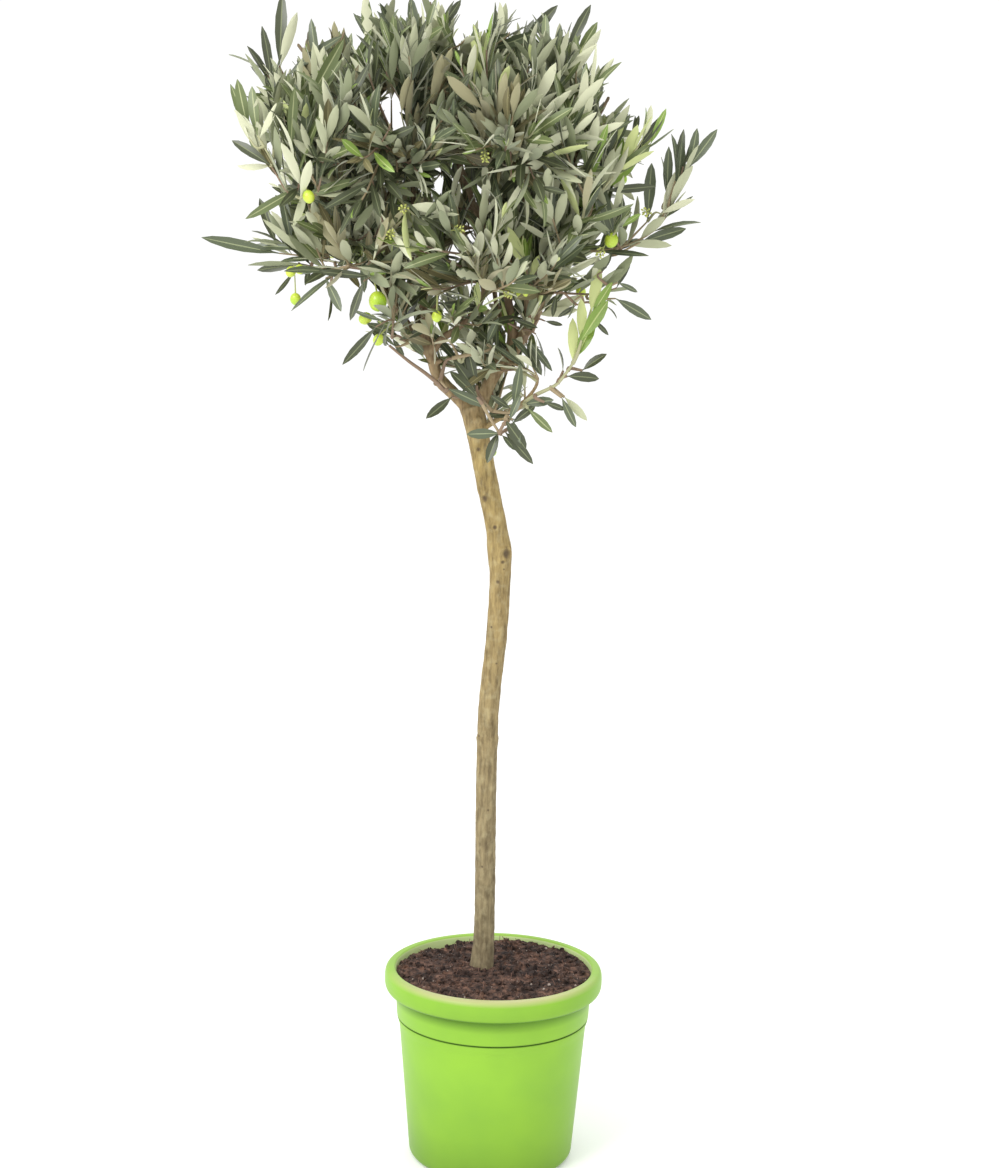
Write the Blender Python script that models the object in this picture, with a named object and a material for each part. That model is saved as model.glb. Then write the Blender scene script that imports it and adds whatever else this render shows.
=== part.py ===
"""Potted standard olive tree: a lime-green container, its soil, one clear stem and a round open head.

Metres, +Z up. The origin is the centre of the pot's flat underside, -X is the tree's left and -Y its
front. Every limb, twig and leaf is worked out from the named sizes below.
"""

import itertools
import math
import random
from collections import namedtuple

import bmesh
import bpy
from mathutils import Matrix, Vector
from mathutils.bvhtree import BVHTree
from mathutils.geometry import interpolate_bezier

UP = Vector((0, 0, 1))
CLEARANCE = 0.0003  # gap left between two pieces that touch
CUT_CLEARANCE = 0.00033  # a little over it, where one limb is cut back from another

# ---- the container and its soil ----
POT_SEGMENTS = 40
POT_HEIGHT = 0.2165
RIM_RADIUS = 0.1205
RIM_DROP = 0.0245  # height of the rolled rim
RIM_UNDERCUT = 0.0025  # how far the rim hangs below where it leaves the collar
RIM_SQUARENESS = 2 / 3  # power of its sine and cosine: 1 is an ellipse, less is squarer
RIM_ARC = (-80, 90)  # in degrees, from under the skirt over the widest place to the top
RIM_STEPS = 8
LIP_RADIUS = 0.1085  # inner edge of the rolled rim
LIP_WIDTH = 0.0045  # from the lip to the middle of the roll
LIP_DROP = 0.0030
COLLAR_TOP_RADIUS = 0.1088
COLLAR_FOOT_RADIUS = 0.1066
COLLAR_FOOT = 0.1625
GROOVE_RADIUS = 0.1048  # the narrow groove under the collar
GROOVE_HEIGHT = 0.0012
SHOULDER_HEIGHT = 0.0120  # of the stretch that flares from the body out to the groove
BODY_TOP_RADIUS = 0.1034
FOOT_RADIUS = 0.0912
FOOT_ROUNDING = 0.009
FOOT_STEPS = 4
POT_SHARP_ANGLE = math.radians(35)  # edges sharper than this stay crisp
WALL = 0.0025
SOIL_LEVEL = 0.2145
SOIL_EDGE_DROP = 0.0025  # the soil falls away towards the wall
SOIL_SIDE_GAP = 0.0005
SOIL_FLAT_RADIUS = 0.088

# ---- the stem ----
TRUNK_SIDES = 12
TRUNK_RINGS = 24
TRUNK_RADIUS = 0.0116
FORK_SWELL = 0.0014
FORK_SWELL_HEIGHT = 0.03
FLARE = 0.0020  # how much wider the foot is
FLARE_HEIGHT = 0.018
Knot = namedtuple("Knot", "height swell spread")
KNOTS = (
    Knot(0.474, 0.0006, 0.007),
    Knot(0.683, 0.0019, 0.016),
    Knot(0.752, 0.0006, 0.006),
)
TRUNK_SUNK = 0.004  # the stem is drawn from this far under the soil's top, where it is cut off flat
TRUNK_BENDS = (
    (-0.0132, 0.012, SOIL_LEVEL - TRUNK_SUNK),
    (-0.0110, 0.012, 0.270),
    (-0.0120, 0.009, 0.400),
    (-0.0110, 0.006, 0.505),
    (-0.0040, 0.004, 0.590),
    (-0.0015, 0.002, 0.660),
    (-0.0060, 0.001, 0.705),
    (-0.0170, 0.000, 0.755),
    (-0.0290, 0.000, 0.812),
    (-0.0360, 0.000, 0.838),
)

# ---- the head's outline: its left and right edge at each height ----
Section = namedtuple("Section", "height left right")
HEAD = (
    Section(0.862, -0.080, 0.030),
    Section(0.900, -0.120, 0.075),
    Section(0.940, -0.165, 0.100),
    Section(0.980, -0.215, 0.122),
    Section(1.020, -0.255, 0.142),
    Section(1.060, -0.280, 0.165),
    Section(1.110, -0.288, 0.172),
    Section(1.160, -0.288, 0.150),
    Section(1.210, -0.270, 0.115),
    Section(1.245, -0.225, 0.085),
    Section(1.266, -0.150, 0.020),
)
DEPTH_SHARE = 0.92  # the head's depth over its width
HEAD_MIDDLE = Vector((-0.055, 0.0, 1.060))

# ---- the boughs ----
# A bough leaves its parent at a share of the parent's length and ends where it enters its mass of
# foliage, at an azimuth, a height and a share of the head's half-width there.
BOUGH_SIDES = 7
BOUGH_RINGS = 6
BOUGH_TURN = 1.6  # how soon a bough turns from its parent's direction to its own
BOUGH_LIFT = 0.5  # how strongly its end turns upwards
Bough = namedtuple("Bough", "name parent start foot tip azimuth height share")
BOUGHS = (
    Bough("bough_left", "trunk", 0.985, 0.0072, 0.0038, 238, 1.060, 0.34),
    Bough("bough_right", "trunk", 0.980, 0.0078, 0.0042, 352, 1.074, 0.53),
    Bough("bough_left_low", "bough_left", 0.26, 0.0045, 0.0032, 186, 0.980, 0.54),
    Bough("bough_front_low", "bough_left", 0.30, 0.0045, 0.0030, 276, 0.946, 0.36),
    Bough("bough_back_left_low", "bough_left", 0.40, 0.0045, 0.0030, 128, 0.952, 0.44),
    Bough("bough_left_high", "bough_left", 0.60, 0.0044, 0.0032, 168, 1.112, 0.42),
    Bough("bough_top", "bough_right", 0.30, 0.0050, 0.0034, 90, 1.120, 0.04),
    Bough("bough_back_right_low", "bough_right", 0.32, 0.0047, 0.0030, 58, 0.940, 0.32),
    Bough("bough_right_low", "bough_right", 0.42, 0.0045, 0.0030, 342, 0.945, 0.42),
    Bough("bough_back_high", "bough_right", 0.43, 0.0046, 0.0032, 88, 1.082, 0.40),
    Bough("bough_front_right_high", "bough_right", 0.58, 0.0044, 0.0032, 298, 1.074, 0.36),
)
# The two main boughs have bends of their own on the way to their tips.
MAIN_BENDS = {
    "bough_left": (
        (-0.054, 0.000, 0.850),
        (-0.070, 0.000, 0.865),
        (-0.078, -0.001, 0.886),
        (-0.085, -0.004, 0.917),
    ),
    "bough_right": (
        (-0.0235, 0.000, 0.846),
        (-0.0085, 0.000, 0.879),
        (0.0030, 0.000, 0.890),
        (0.0190, 0.000, 0.915),
        (0.0365, 0.001, 0.957),
    ),
}
MAIN_RINGS = 12

# ---- the masses of foliage ----
# Each mass fills the part of the head that lies nearest to its middle.
Mass = namedtuple("Mass", "name bough azimuth height share")
MASSES = (
    Mass("foliage_front_left", "bough_left", 238, 1.115, 0.62),
    Mass("foliage_right", "bough_right", 0, 1.130, 0.66),
    Mass("foliage_left_low", "bough_left_low", 190, 1.035, 0.62),
    Mass("foliage_front_low", "bough_front_low", 276, 0.995, 0.56),
    Mass("foliage_back_left_low", "bough_back_left_low", 130, 0.995, 0.56),
    Mass("foliage_left", "bough_left_high", 166, 1.175, 0.62),
    Mass("foliage_top", "bough_top", 90, 1.205, 0.04),
    Mass("foliage_back_right_low", "bough_back_right_low", 60, 1.025, 0.56),
    Mass("foliage_right_low", "bough_right_low", 334, 0.995, 0.62),
    Mass("foliage_back", "bough_back_high", 88, 1.130, 0.60),
    Mass("foliage_front_right", "bough_front_right_high", 302, 1.115, 0.58),
)
FORK_SHOOTS = "foliage_fork"  # low shoots that spring from the stem just under its fork
FORK_MIDDLE = Vector((0.030, -0.034, 0.838))
FORK_STEM_START = 0.955  # share of the stem's length
FORK_STEM_END = Vector((0.034, -0.036, 0.872))
FORK_STEM_RISE = 0.020  # its last stretch rises straight
FORK_LEAF_SCALE = 0.76
CELL_GAP = 0.0006  # each mass keeps this far inside its own space

# ---- twigs, leaves and fruit ----
GOLDEN_ANGLE = math.pi * (3 - math.sqrt(5))
TWIG_SIDES = 3
STEM_SIDES = 5
STEM_RADIUS = 0.0030
STEM_PAST_MIDDLE = 0.60  # how far a mass's stem runs past its middle, over its length
SHOOT_COUNT = 80
SHOOT_RADII = (0.0019, 0.0011)
SHOOT_RINGS = 4
SHOOT_EASE = 0.4  # how far a shoot sets out along its stem before it turns away
SHOOT_LIFTS = (0.7, 0.3, 0.0)  # how strongly its end turns upwards, the first that fits
SHOOT_BASES = 18  # places along a mass's stem where a shoot may leave it
FIRST_BASE = 0.08  # share of the stem's length
LAST_BASE = 0.98
BASES_TRIED = 5
STRAIN_PER_METRE = 4  # what a metre of shoot counts for, against a turn of one radian
TURN_SPREAD = 0.3  # radians by which a pair of leaves strays from its quarter turn
STEM_RINGS = 5
STEM_TIP_RADIUS = 0.0023
LOWEST_DIRECTION = -0.64  # no shoot points further down than this, towards the stem
INNERMOST_TIP = 0.52  # share of the head's reach; most shoots end near its outline
NODE_SPACING = 0.026  # between the pairs of leaves along a shoot
FIRST_NODE = 0.22  # share of the shoot's length that is bare
LAST_NODE = 0.97
LAST_LEAF_SHARE = 0.94  # of the last leaf's length that stands past its shoot's end
LEAF_LENGTH = 0.074
LEAF_SPREAD = 0.20  # share by which lengths vary
LEAF_SUNK = 0.001  # how far a last leaf's root is sunk into the end of its shoot
LAST_LEAF_FACING = Vector((0.3, 1.0, 0.2))
LEAF_SLENDERNESS = 0.245  # width over length
LEAF_THICKNESS = 1 / 55  # over length
LEAF_SHOULDERS = ((0.24, 0.76), (0.62, 1.0))  # share of the length, share of the half-width
LEAF_ANGLE = math.radians(40)  # between a leaf and its shoot
LEAF_ANGLE_SPREAD = math.radians(12)
LEAF_ROLL = math.radians(60)  # at most, about its own length
LEAF_LIFT = 0.3  # how strongly leaves turn upwards
LEAF_MARGIN = 0.008  # leaves of short shoots reach at most this far outside the head's outline
# Where a leaf doesn't fit, it is tried turned round its shoot by so many radians and at a share of its
# length, until one fits.
LEAF_TRIES = ((0.0, 1.0), (0.5, 1.0), (-0.5, 1.0), (1.0, 0.85), (-1.0, 0.85), (1.5, 0.75), (0.2, 0.7))
LIMB_ROOM = 0.0008  # least distance between a leaf and a limb
OLIVE_LENGTH = 0.0165
OLIVE_WIDTH = 0.0135
OLIVE_STALK = 0.009
OLIVE_SWAY = 0.5  # how far an olive leans out from hanging straight down
OLIVE_SEGMENTS = 6
OLIVE_RINGS = 3
STALK_RADIUS = 0.0009
SEED = 11

# Long shoots that stand out of the outline, by where their last leaf ends.
LONG_SHOOTS = (
    (-0.319, -0.030, 1.010),
    (-0.292, -0.040, 1.105),
    (-0.284, -0.060, 1.165),
    (0.209, -0.020, 1.130),
    (-0.240, -0.030, 1.268),
    (-0.288, 0.030, 1.195),
    (0.160, -0.050, 1.152),
    (0.189, -0.060, 1.048),
    (-0.146, -0.060, 1.268),
    (0.078, 0.010, 1.262),
    (-0.170, -0.075, 0.905),
    (0.152, -0.030, 0.945),
    (0.105, -0.060, 0.940),
    (0.045, -0.095, 0.950),
    (-0.125, -0.090, 0.955),
    (-0.060, -0.120, 0.945),
    (0.080, 0.075, 0.940),
    (-0.105, -0.070, 0.925),
    (0.010, -0.095, 0.930),
    (-0.070, 0.211, 1.125),
)
FORK_TIPS = (
    (-0.072, -0.052, 0.893),
    (-0.030, -0.066, 0.903),
    (0.100, -0.010, 0.925),
    (0.108, -0.030, 0.888),
    (0.094, -0.010, 0.856),
    (0.060, -0.060, 0.832),
    (-0.008, -0.080, 0.826),
    (-0.064, -0.055, 0.856),
    (0.030, -0.060, 0.920),
)
OLIVE_SPOTS = (
    (-0.205, -0.12, 1.050),
    (-0.225, -0.06, 0.955),
    (-0.135, -0.14, 0.945),
    (-0.150, -0.10, 0.930),
    (-0.070, -0.17, 0.930),
    (0.020, -0.16, 0.955),
    (0.115, -0.10, 1.010),
    (-0.180, 0.11, 0.960),
    (0.080, 0.13, 0.985),
)


# ---- materials ----
def plain_material(name, colour, roughness):
    """A Principled material with one base colour."""
    material = bpy.data.materials.new(name)
    material.use_nodes = True
    shader = material.node_tree.nodes["Principled BSDF"]
    shader.inputs["Base Color"].default_value = (*colour, 1)
    shader.inputs["Roughness"].default_value = roughness
    shader.inputs["Metallic"].default_value = 0
    return material


# ---- meshes ----
def new_object(name, bm, material=None, collection=None):
    """The bmesh as a linked object; the bmesh is freed."""
    mesh = bpy.data.meshes.new(name)
    bmesh.ops.recalc_face_normals(bm, faces=bm.faces)
    bm.to_mesh(mesh)
    bm.free()
    if material:
        mesh.materials.append(material)
    obj = bpy.data.objects.new(name, mesh)
    (collection or bpy.context.scene.collection).objects.link(obj)
    return obj


def stations(path):
    """A matrix at each point of the path, with Z along it and no twist from one to the next."""
    turn = (path[1] - path[0]).to_track_quat("Z", "Y")
    found = []
    for before, here, after in zip([path[0], *path[:-1]], path, [*path[1:], path[-1]]):
        along = turn @ UP
        turn = along.rotation_difference(after - before) @ turn
        found.append(Matrix.Translation(here) @ turn.to_matrix().to_4x4())
    return found


def tube(bm, path, radii, sides):
    """Adds a closed round or many-sided tube that follows the path."""
    previous = None
    caps = []
    for place, radius in zip(stations(path), radii):
        ring = bmesh.ops.create_circle(bm, segments=sides, radius=radius, matrix=place)["verts"]
        edges = list({edge for vert in ring for edge in vert.link_edges})
        if previous:
            bmesh.ops.bridge_loops(bm, edges=previous + edges)
        else:
            caps.append(ring)
        previous = edges
    caps.append(ring)
    for cap in caps:
        bm.faces.new(cap)


def lathe(name, profile, material):
    """A closed turned solid from a profile of (radius, height) that starts and ends on the axis."""
    bm = bmesh.new()
    verts = [bm.verts.new((radius, 0, height)) for radius, height in profile]
    edges = [bm.edges.new(pair) for pair in zip(verts, verts[1:])]
    bmesh.ops.spin(
        bm,
        geom=verts + edges,
        axis=UP,
        cent=(0, 0, 0),
        angle=math.tau,
        steps=POT_SEGMENTS,
        use_merge=True,
    )
    bmesh.ops.remove_doubles(bm, verts=bm.verts, dist=CLEARANCE / 3)
    obj = new_object(name, bm, material)
    obj.data.shade_smooth()
    obj.data.set_sharp_from_angle(angle=POT_SHARP_ANGLE)
    return obj


def bake_boolean(obj, operation, other=None, collection=None, solver="EXACT"):
    """Joins or cuts the object with another, or with all of a collection, for good."""
    modifier = obj.modifiers.new(operation, "BOOLEAN")
    modifier.operation = operation
    modifier.solver = solver
    if collection:
        modifier.operand_type = "COLLECTION"
        modifier.collection = collection
    else:
        modifier.object = other
    graph = bpy.context.evaluated_depsgraph_get()
    mesh = bpy.data.meshes.new_from_object(obj.evaluated_get(graph))
    obj.modifiers.clear()
    obj.data = mesh


def keep_largest_shell(obj):
    """Drops loose scraps and the skins of sealed hollows, so that the object is one solid."""
    bm = bmesh.new()
    bm.from_mesh(obj.data)
    bmesh.ops.triangulate(bm, faces=bm.faces)
    left = set(bm.verts)
    shells = []
    while left:
        shell, front = set(), [left.pop()]
        while front:
            vert = front.pop()
            shell.add(vert)
            near = {edge.other_vert(vert) for edge in vert.link_edges} & left
            left -= near
            front.extend(near)
        shells.append(shell)
    shells.sort(key=len)
    scraps = [vert for shell in shells[:-1] for vert in shell]
    bmesh.ops.delete(bm, geom=scraps, context="VERTS")
    bm.to_mesh(obj.data)
    bm.free()


# ---- container and soil ----
def rounded(middle, reach, drop, first, last, steps, squareness=1.0):
    """Points along an ellipse's arc as (radius, height), squarer where squareness is under 1."""
    found = []
    for n in range(steps + 1):
        angle = math.radians(first + (last - first) * n / steps)
        across, rise = math.cos(angle), math.sin(angle)
        across = math.copysign(abs(across) ** squareness, across)
        rise = math.copysign(abs(rise) ** squareness, rise)
        found.append((middle[0] + reach * across, middle[1] + drop * rise))
    return found


def inner_wall():
    """The container's inner wall from its floor up to the soil's edge, as (radius, height)."""
    return [
        (FOOT_RADIUS - FOOT_ROUNDING, WALL),
        (FOOT_RADIUS - WALL, FOOT_ROUNDING + WALL),
        (BODY_TOP_RADIUS - WALL, COLLAR_FOOT - SHOULDER_HEIGHT),
        (GROOVE_RADIUS - WALL, COLLAR_FOOT),
        (LIP_RADIUS - WALL / 2, SOIL_LEVEL - SOIL_EDGE_DROP),
    ]


def rolled_rim():
    """The rim's outside, from under its skirt over the top to the lip."""
    middle = (LIP_RADIUS + LIP_WIDTH, POT_HEIGHT - RIM_DROP / 2)
    reach = RIM_RADIUS - middle[0]
    roll = rounded(middle, reach, RIM_DROP / 2, *RIM_ARC, RIM_STEPS, RIM_SQUARENESS)
    return [*roll, (LIP_RADIUS, POT_HEIGHT - LIP_DROP)]


def make_container(material):
    foot_middle = (FOOT_RADIUS - FOOT_ROUNDING, FOOT_ROUNDING)
    skirt = POT_HEIGHT - RIM_DROP
    profile = [
        (0, 0),
        *rounded(foot_middle, FOOT_ROUNDING, FOOT_ROUNDING, -90, 0, FOOT_STEPS),
        (BODY_TOP_RADIUS, COLLAR_FOOT - SHOULDER_HEIGHT),
        (GROOVE_RADIUS, COLLAR_FOOT - GROOVE_HEIGHT),
        (COLLAR_FOOT_RADIUS, COLLAR_FOOT),
        (COLLAR_TOP_RADIUS, skirt + RIM_UNDERCUT),
        *rolled_rim(),
        *reversed(inner_wall()),
        (0, WALL),
    ]
    return lathe("container", profile, material)


def make_soil(material):
    wall = [(radius - SOIL_SIDE_GAP, height) for radius, height in inner_wall()]
    low = WALL + CLEARANCE
    wall[0] = (wall[0][0], low)
    profile = [(0, low), *wall, (SOIL_FLAT_RADIUS, SOIL_LEVEL), (0, SOIL_LEVEL)]
    return lathe("soil", profile, material)


# ---- limbs ----
class Limb:
    """A tapering limb: the points that it follows and its radius at each."""

    def __init__(self, name, path, radii, sides):
        self.name = name
        self.path = path
        self.radii = radii
        self.sides = sides

    def at(self, share):
        """The point, direction and radius at a share of the limb's length."""
        lengths = [(b - a).length for a, b in zip(self.path, self.path[1:])]
        left = share * sum(lengths)
        for n, length in enumerate(lengths):
            if left <= length or n == len(lengths) - 1:
                break
            left -= length
        along = self.path[n + 1] - self.path[n]
        radius = self.radii[n] + (self.radii[n + 1] - self.radii[n]) * left / length
        return self.path[n] + along * left / length, along.normalized(), radius

    def tree_from(self, first):
        """A search tree of the limb from one of its rings on."""
        bm = bmesh.new()
        tube(bm, self.path[first:], self.radii[first:], self.sides)
        found = BVHTree.FromBMesh(bm)
        bm.free()
        return found

    def solid(self, name, extra=0.0, material=None, floor=None):
        bm = bmesh.new()
        tube(bm, self.path, [radius + extra for radius in self.radii], self.sides)
        if floor is not None:
            geom = [*bm.verts, *bm.edges, *bm.faces]
            bmesh.ops.bisect_plane(bm, geom=geom, plane_co=(0, 0, floor), plane_no=UP, clear_inner=True)
            rim = [edge for edge in bm.edges if edge.is_boundary]
            bmesh.ops.holes_fill(bm, edges=rim, sides=0)
        return new_object(name, bm, material)


CURVE_STEPS = 12  # between two given points of a smooth curve


def curve_through(points, count):
    """Points at even steps along a smooth curve through the given ones."""
    points = [Vector(point) for point in points]
    first, last = 2 * points[0] - points[1], 2 * points[-1] - points[-2]
    line = []
    for a, b, c, d in zip([first, *points], points, points[1:], [*points[2:], last]):
        line += interpolate_bezier(b, b + (c - a) / 6, c - (d - b) / 6, c, CURVE_STEPS)[:-1]
    line.append(points[-1])
    dense = Limb("line", line, [0] * len(line), 0)
    return [dense.at(n / (count - 1))[0] for n in range(count)]


def trunk_radius(height):
    radius = TRUNK_RADIUS
    radius += FLARE * math.exp(-(height - SOIL_LEVEL) / FLARE_HEIGHT)
    radius += FORK_SWELL * math.exp((height - TRUNK_BENDS[-1][2]) / FORK_SWELL_HEIGHT)
    for knot in KNOTS:
        radius += knot.swell * math.exp(-(((height - knot.height) / knot.spread) ** 2))
    return radius


def make_trunk():
    """The stem, sampled evenly and also at its foot, knots and fork."""
    path = curve_through(TRUNK_BENDS, TRUNK_RINGS)
    return Limb("trunk", path, [trunk_radius(point.z) for point in path], TRUNK_SIDES)


def head_section(height):
    """The head's middle and half-width at a height."""
    for low, high in zip(HEAD, HEAD[1:]):
        if height <= high.height:
            break
    share = (height - low.height) / (high.height - low.height)
    left = low.left + (high.left - low.left) * share
    right = low.right + (high.right - low.right) * share
    return (left + right) / 2, (right - left) / 2


def in_head(point, margin=0.0):
    """Whether a point lies in the head's outline, or no further outside it than the margin."""
    if not HEAD[0].height - margin <= point.z <= HEAD[-1].height + margin:
        return False
    middle, half = head_section(point.z)
    return math.hypot(point.x - middle, point.y / DEPTH_SHARE) <= half + margin


def head_point(azimuth, height, share):
    """A point of the head, by its azimuth, its height and its share of the half-width."""
    middle, half = head_section(height)
    angle = math.radians(azimuth)
    reach = half * share
    return Vector((middle + reach * math.cos(angle), DEPTH_SHARE * reach * math.sin(angle), height))


def make_boughs(trunk):
    """The boughs as limbs, by name. Each starts on its parent's middle line."""
    limbs = {"trunk": trunk}
    for bough in BOUGHS:
        start, along, _ = limbs[bough.parent].at(bough.start)
        tip = head_point(bough.azimuth, bough.height, bough.share)
        if bough.name in MAIN_BENDS:
            path = curve_through([start, *MAIN_BENDS[bough.name], tip], MAIN_RINGS)
        else:
            pull = (tip - start).length / 3
            straight = (tip - start).normalized()
            lean = (along + BOUGH_TURN * straight).normalized()
            rise = (straight + BOUGH_LIFT * UP).normalized()
            path = interpolate_bezier(start, start + pull * lean, tip - pull * rise, tip, BOUGH_RINGS)
        count = len(path) - 1
        radii = [bough.foot + (bough.tip - bough.foot) * n / count for n in range(count + 1)]
        limbs[bough.name] = Limb(bough.name, path, radii, BOUGH_SIDES)
    return limbs


def cut_clear(obj, limbs):
    """Cuts the object back from each limb that it meets, leaving the clearance."""
    for limb in limbs:
        cutter = limb.solid("cutter", extra=CUT_CLEARANCE)
        bake_boolean(obj, "DIFFERENCE", other=cutter)
        bpy.data.objects.remove(cutter)


# ---- foliage ----
def golden_direction(n, count):
    """One of so many directions spread evenly round a sphere."""
    rise = 1 - 2 * (n + 0.5) / count
    flat = math.sqrt(1 - rise * rise)
    return Vector((flat * math.cos(n * GOLDEN_ANGLE), flat * math.sin(n * GOLDEN_ANGLE), rise))


def head_reach(direction, step=0.004):
    """How far the head's outline lies from its middle in a direction."""
    reach = step
    while in_head(HEAD_MIDDLE + direction * reach):
        reach += step
    return reach


def in_cell(point, own, middles, margin):
    """Whether a point lies in the space nearest to one's own middle, by at least the margin."""
    for other in middles:
        if other is own:
            continue
        across = (other - own).normalized()
        if (point - (own + other) / 2).dot(across) > -margin:
            return False
    return True


def leaf_points(root, along, across, length):
    """The six corners of a thin leaf, alternately on its upper and lower side."""
    facing = along.cross(across).normalized()
    half = length * LEAF_SLENDERNESS / 2
    lift = facing * (length * LEAF_THICKNESS / 2)
    (low_at, low_width), (high_at, high_width) = LEAF_SHOULDERS
    low, high = root + along * length * low_at, root + along * length * high_at
    return [
        root + lift,
        low - across * half * low_width - lift,
        low + across * half * low_width - lift,
        high - across * half * high_width + lift,
        high + across * half * high_width + lift,
        root + along * length - lift,
    ]


def hull(bm, points):
    """Adds the convex solid round the points."""
    verts = [bm.verts.new(point) for point in points]
    bmesh.ops.convex_hull(bm, input=verts)


def tree_of(points):
    """A search tree of the convex solid round the points."""
    bm = bmesh.new()
    hull(bm, points)
    found = BVHTree.FromBMesh(bm)
    bm.free()
    return found


def olive_mesh(placed_shape):
    bm = bmesh.new()
    bmesh.ops.create_uvsphere(
        bm,
        u_segments=OLIVE_SEGMENTS,
        v_segments=OLIVE_RINGS,
        radius=1,
        matrix=placed_shape,
    )
    return bm


class Foliage:
    """One mass: a stem, the shoots that spring from it and the leaves on them, in its own space."""

    def __init__(self, name, middle, middles, parent, stem, limb_tree, leaf_scale=1.0):
        self.name = name
        self.middle = middle
        self.middles = middles
        self.parent = parent
        self.stem = stem
        self.leaf_scale = leaf_scale
        self.random = random.Random(f"{SEED} {name}")
        self.shoots = []
        self.leaves = []
        self.olives = []
        self.blocked = [limb_tree, stem.tree_from(1)]
        step = (LAST_BASE - FIRST_BASE) / (SHOOT_BASES - 1)
        self.free_bases = [FIRST_BASE + step * n for n in range(SHOOT_BASES)]

    def holds(self, points, margin=CELL_GAP):
        return all(in_cell(point, self.middle, self.middles, margin) for point in points)

    def add_shoot(self, tip, long=False):
        """A shoot from the stem whose last leaf ends at the tip. A long one may leave the outline."""
        length = self.leaf_length()
        shares = sorted(self.free_bases, key=lambda share: self.strain(share, tip))
        for share, lift in itertools.product(shares[:BASES_TRIED], SHOOT_LIFTS):
            base, along, _ = self.stem.at(share)
            straight = (tip - base).normalized()
            out = (straight + lift * UP).normalized()
            end = tip - out * length * LAST_LEAF_SHARE
            pull = (end - base).length / 3
            first_pull = base + (SHOOT_EASE * along + straight).normalized() * pull
            path = interpolate_bezier(base, first_pull, end - out * pull, end, SHOOT_RINGS)
            thick, thin = SHOOT_RADII
            radii = [thick + (thin - thick) * n / (SHOOT_RINGS - 1) for n in range(SHOOT_RINGS)]
            shoot = Limb("shoot", path, radii, TWIG_SIDES)
            tree = shoot.tree_from(1)
            fits = self.holds([*path, tip], 2 * thick)
            if fits and not any(tree.overlap(other) for other in self.blocked):
                self.free_bases.remove(share)
                self.blocked.append(tree)
                self.shoots.append((shoot, out, length, long))
                return

    def strain(self, share, tip):
        """How awkward it is for a shoot to leave the stem at a share of its length for a tip."""
        base, along, _ = self.stem.at(share)
        return (tip - base).angle(along) + STRAIN_PER_METRE * (tip - base).length

    def leaf_length(self):
        spread = self.random.uniform(1 - LEAF_SPREAD, 1 + LEAF_SPREAD)
        return LEAF_LENGTH * self.leaf_scale * spread

    def grow_leaves(self):
        for shoot, out, last_length, _ in self.shoots:
            across = out.cross(LAST_LEAF_FACING).normalized()
            self.add_leaf(shoot.path[-1] - out * LEAF_SUNK, out, across, last_length, True)
        for shoot, _, _, long in self.shoots:
            self.add_pairs(shoot, long)

    def add_pairs(self, shoot, long):
        """Opposite pairs of leaves along the shoot, each a quarter turn from the pair before."""
        total = sum((b - a).length for a, b in zip(shoot.path, shoot.path[1:]))
        count = max(2, int(total * (1 - FIRST_NODE) / NODE_SPACING) + 1)
        turn = self.random.uniform(0, math.tau)
        for node in range(count):
            share = FIRST_NODE + (LAST_NODE - FIRST_NODE) * (node + 0.5) / count
            place, along, _ = shoot.at(share)
            side = along.orthogonal().normalized()
            for half_turn in (0, math.pi):
                for nudge, scale in LEAF_TRIES:
                    spin = Matrix.Rotation(turn + half_turn + nudge, 3, along)
                    angle = LEAF_ANGLE + self.random.uniform(-1, 1) * LEAF_ANGLE_SPREAD
                    away = along * math.cos(angle) + (spin @ side) * math.sin(angle)
                    away = (away + LEAF_LIFT * UP).normalized()
                    roll = Matrix.Rotation(self.random.uniform(-LEAF_ROLL, LEAF_ROLL), 3, away)
                    across = roll @ along.cross(away).normalized()
                    length = scale * self.leaf_length()
                    if self.add_leaf(place, away, across, length, long):
                        break
            turn += math.pi / 2 + self.random.uniform(-TURN_SPREAD, TURN_SPREAD)

    def add_leaf(self, root, along, across, length, free):
        """Keeps the leaf if it stays in its space and its blade crosses nothing."""
        points = leaf_points(root, along, across, length)
        if not self.holds(points) or not (free or in_head(points[-1], LEAF_MARGIN)):
            return False
        blade = tree_of(points[1:])
        if any(blade.overlap(other) for other in self.blocked):
            return False
        self.leaves.append(points)
        self.blocked.append(blade)
        return True

    def add_olive(self, spot):
        """An olive that hangs on a short stalk from the node of a shoot nearest to the spot."""
        nodes = [point for shoot, _, _, _ in self.shoots for point in shoot.path[1:-1]]
        nodes = [node for node in nodes if self.holds([node], OLIVE_STALK + OLIVE_LENGTH)]
        if not nodes:
            return
        node = min(nodes, key=lambda point: (point - spot).length)
        out = (OLIVE_SWAY * (node - self.middle).normalized() - UP).normalized()
        middle = node + out * (OLIVE_STALK + OLIVE_LENGTH / 2)
        place = Matrix.Translation(middle) @ out.to_track_quat("Z", "Y").to_matrix().to_4x4()
        shape = Matrix.Diagonal((OLIVE_WIDTH / 2, OLIVE_WIDTH / 2, OLIVE_LENGTH / 2, 1))
        bm = olive_mesh(place @ shape)
        tree = BVHTree.FromBMesh(bm)
        bm.free()
        if not any(tree.overlap(other) for other in self.blocked):
            self.blocked.append(tree)
            self.olives.append((node, middle, place @ shape))

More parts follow.
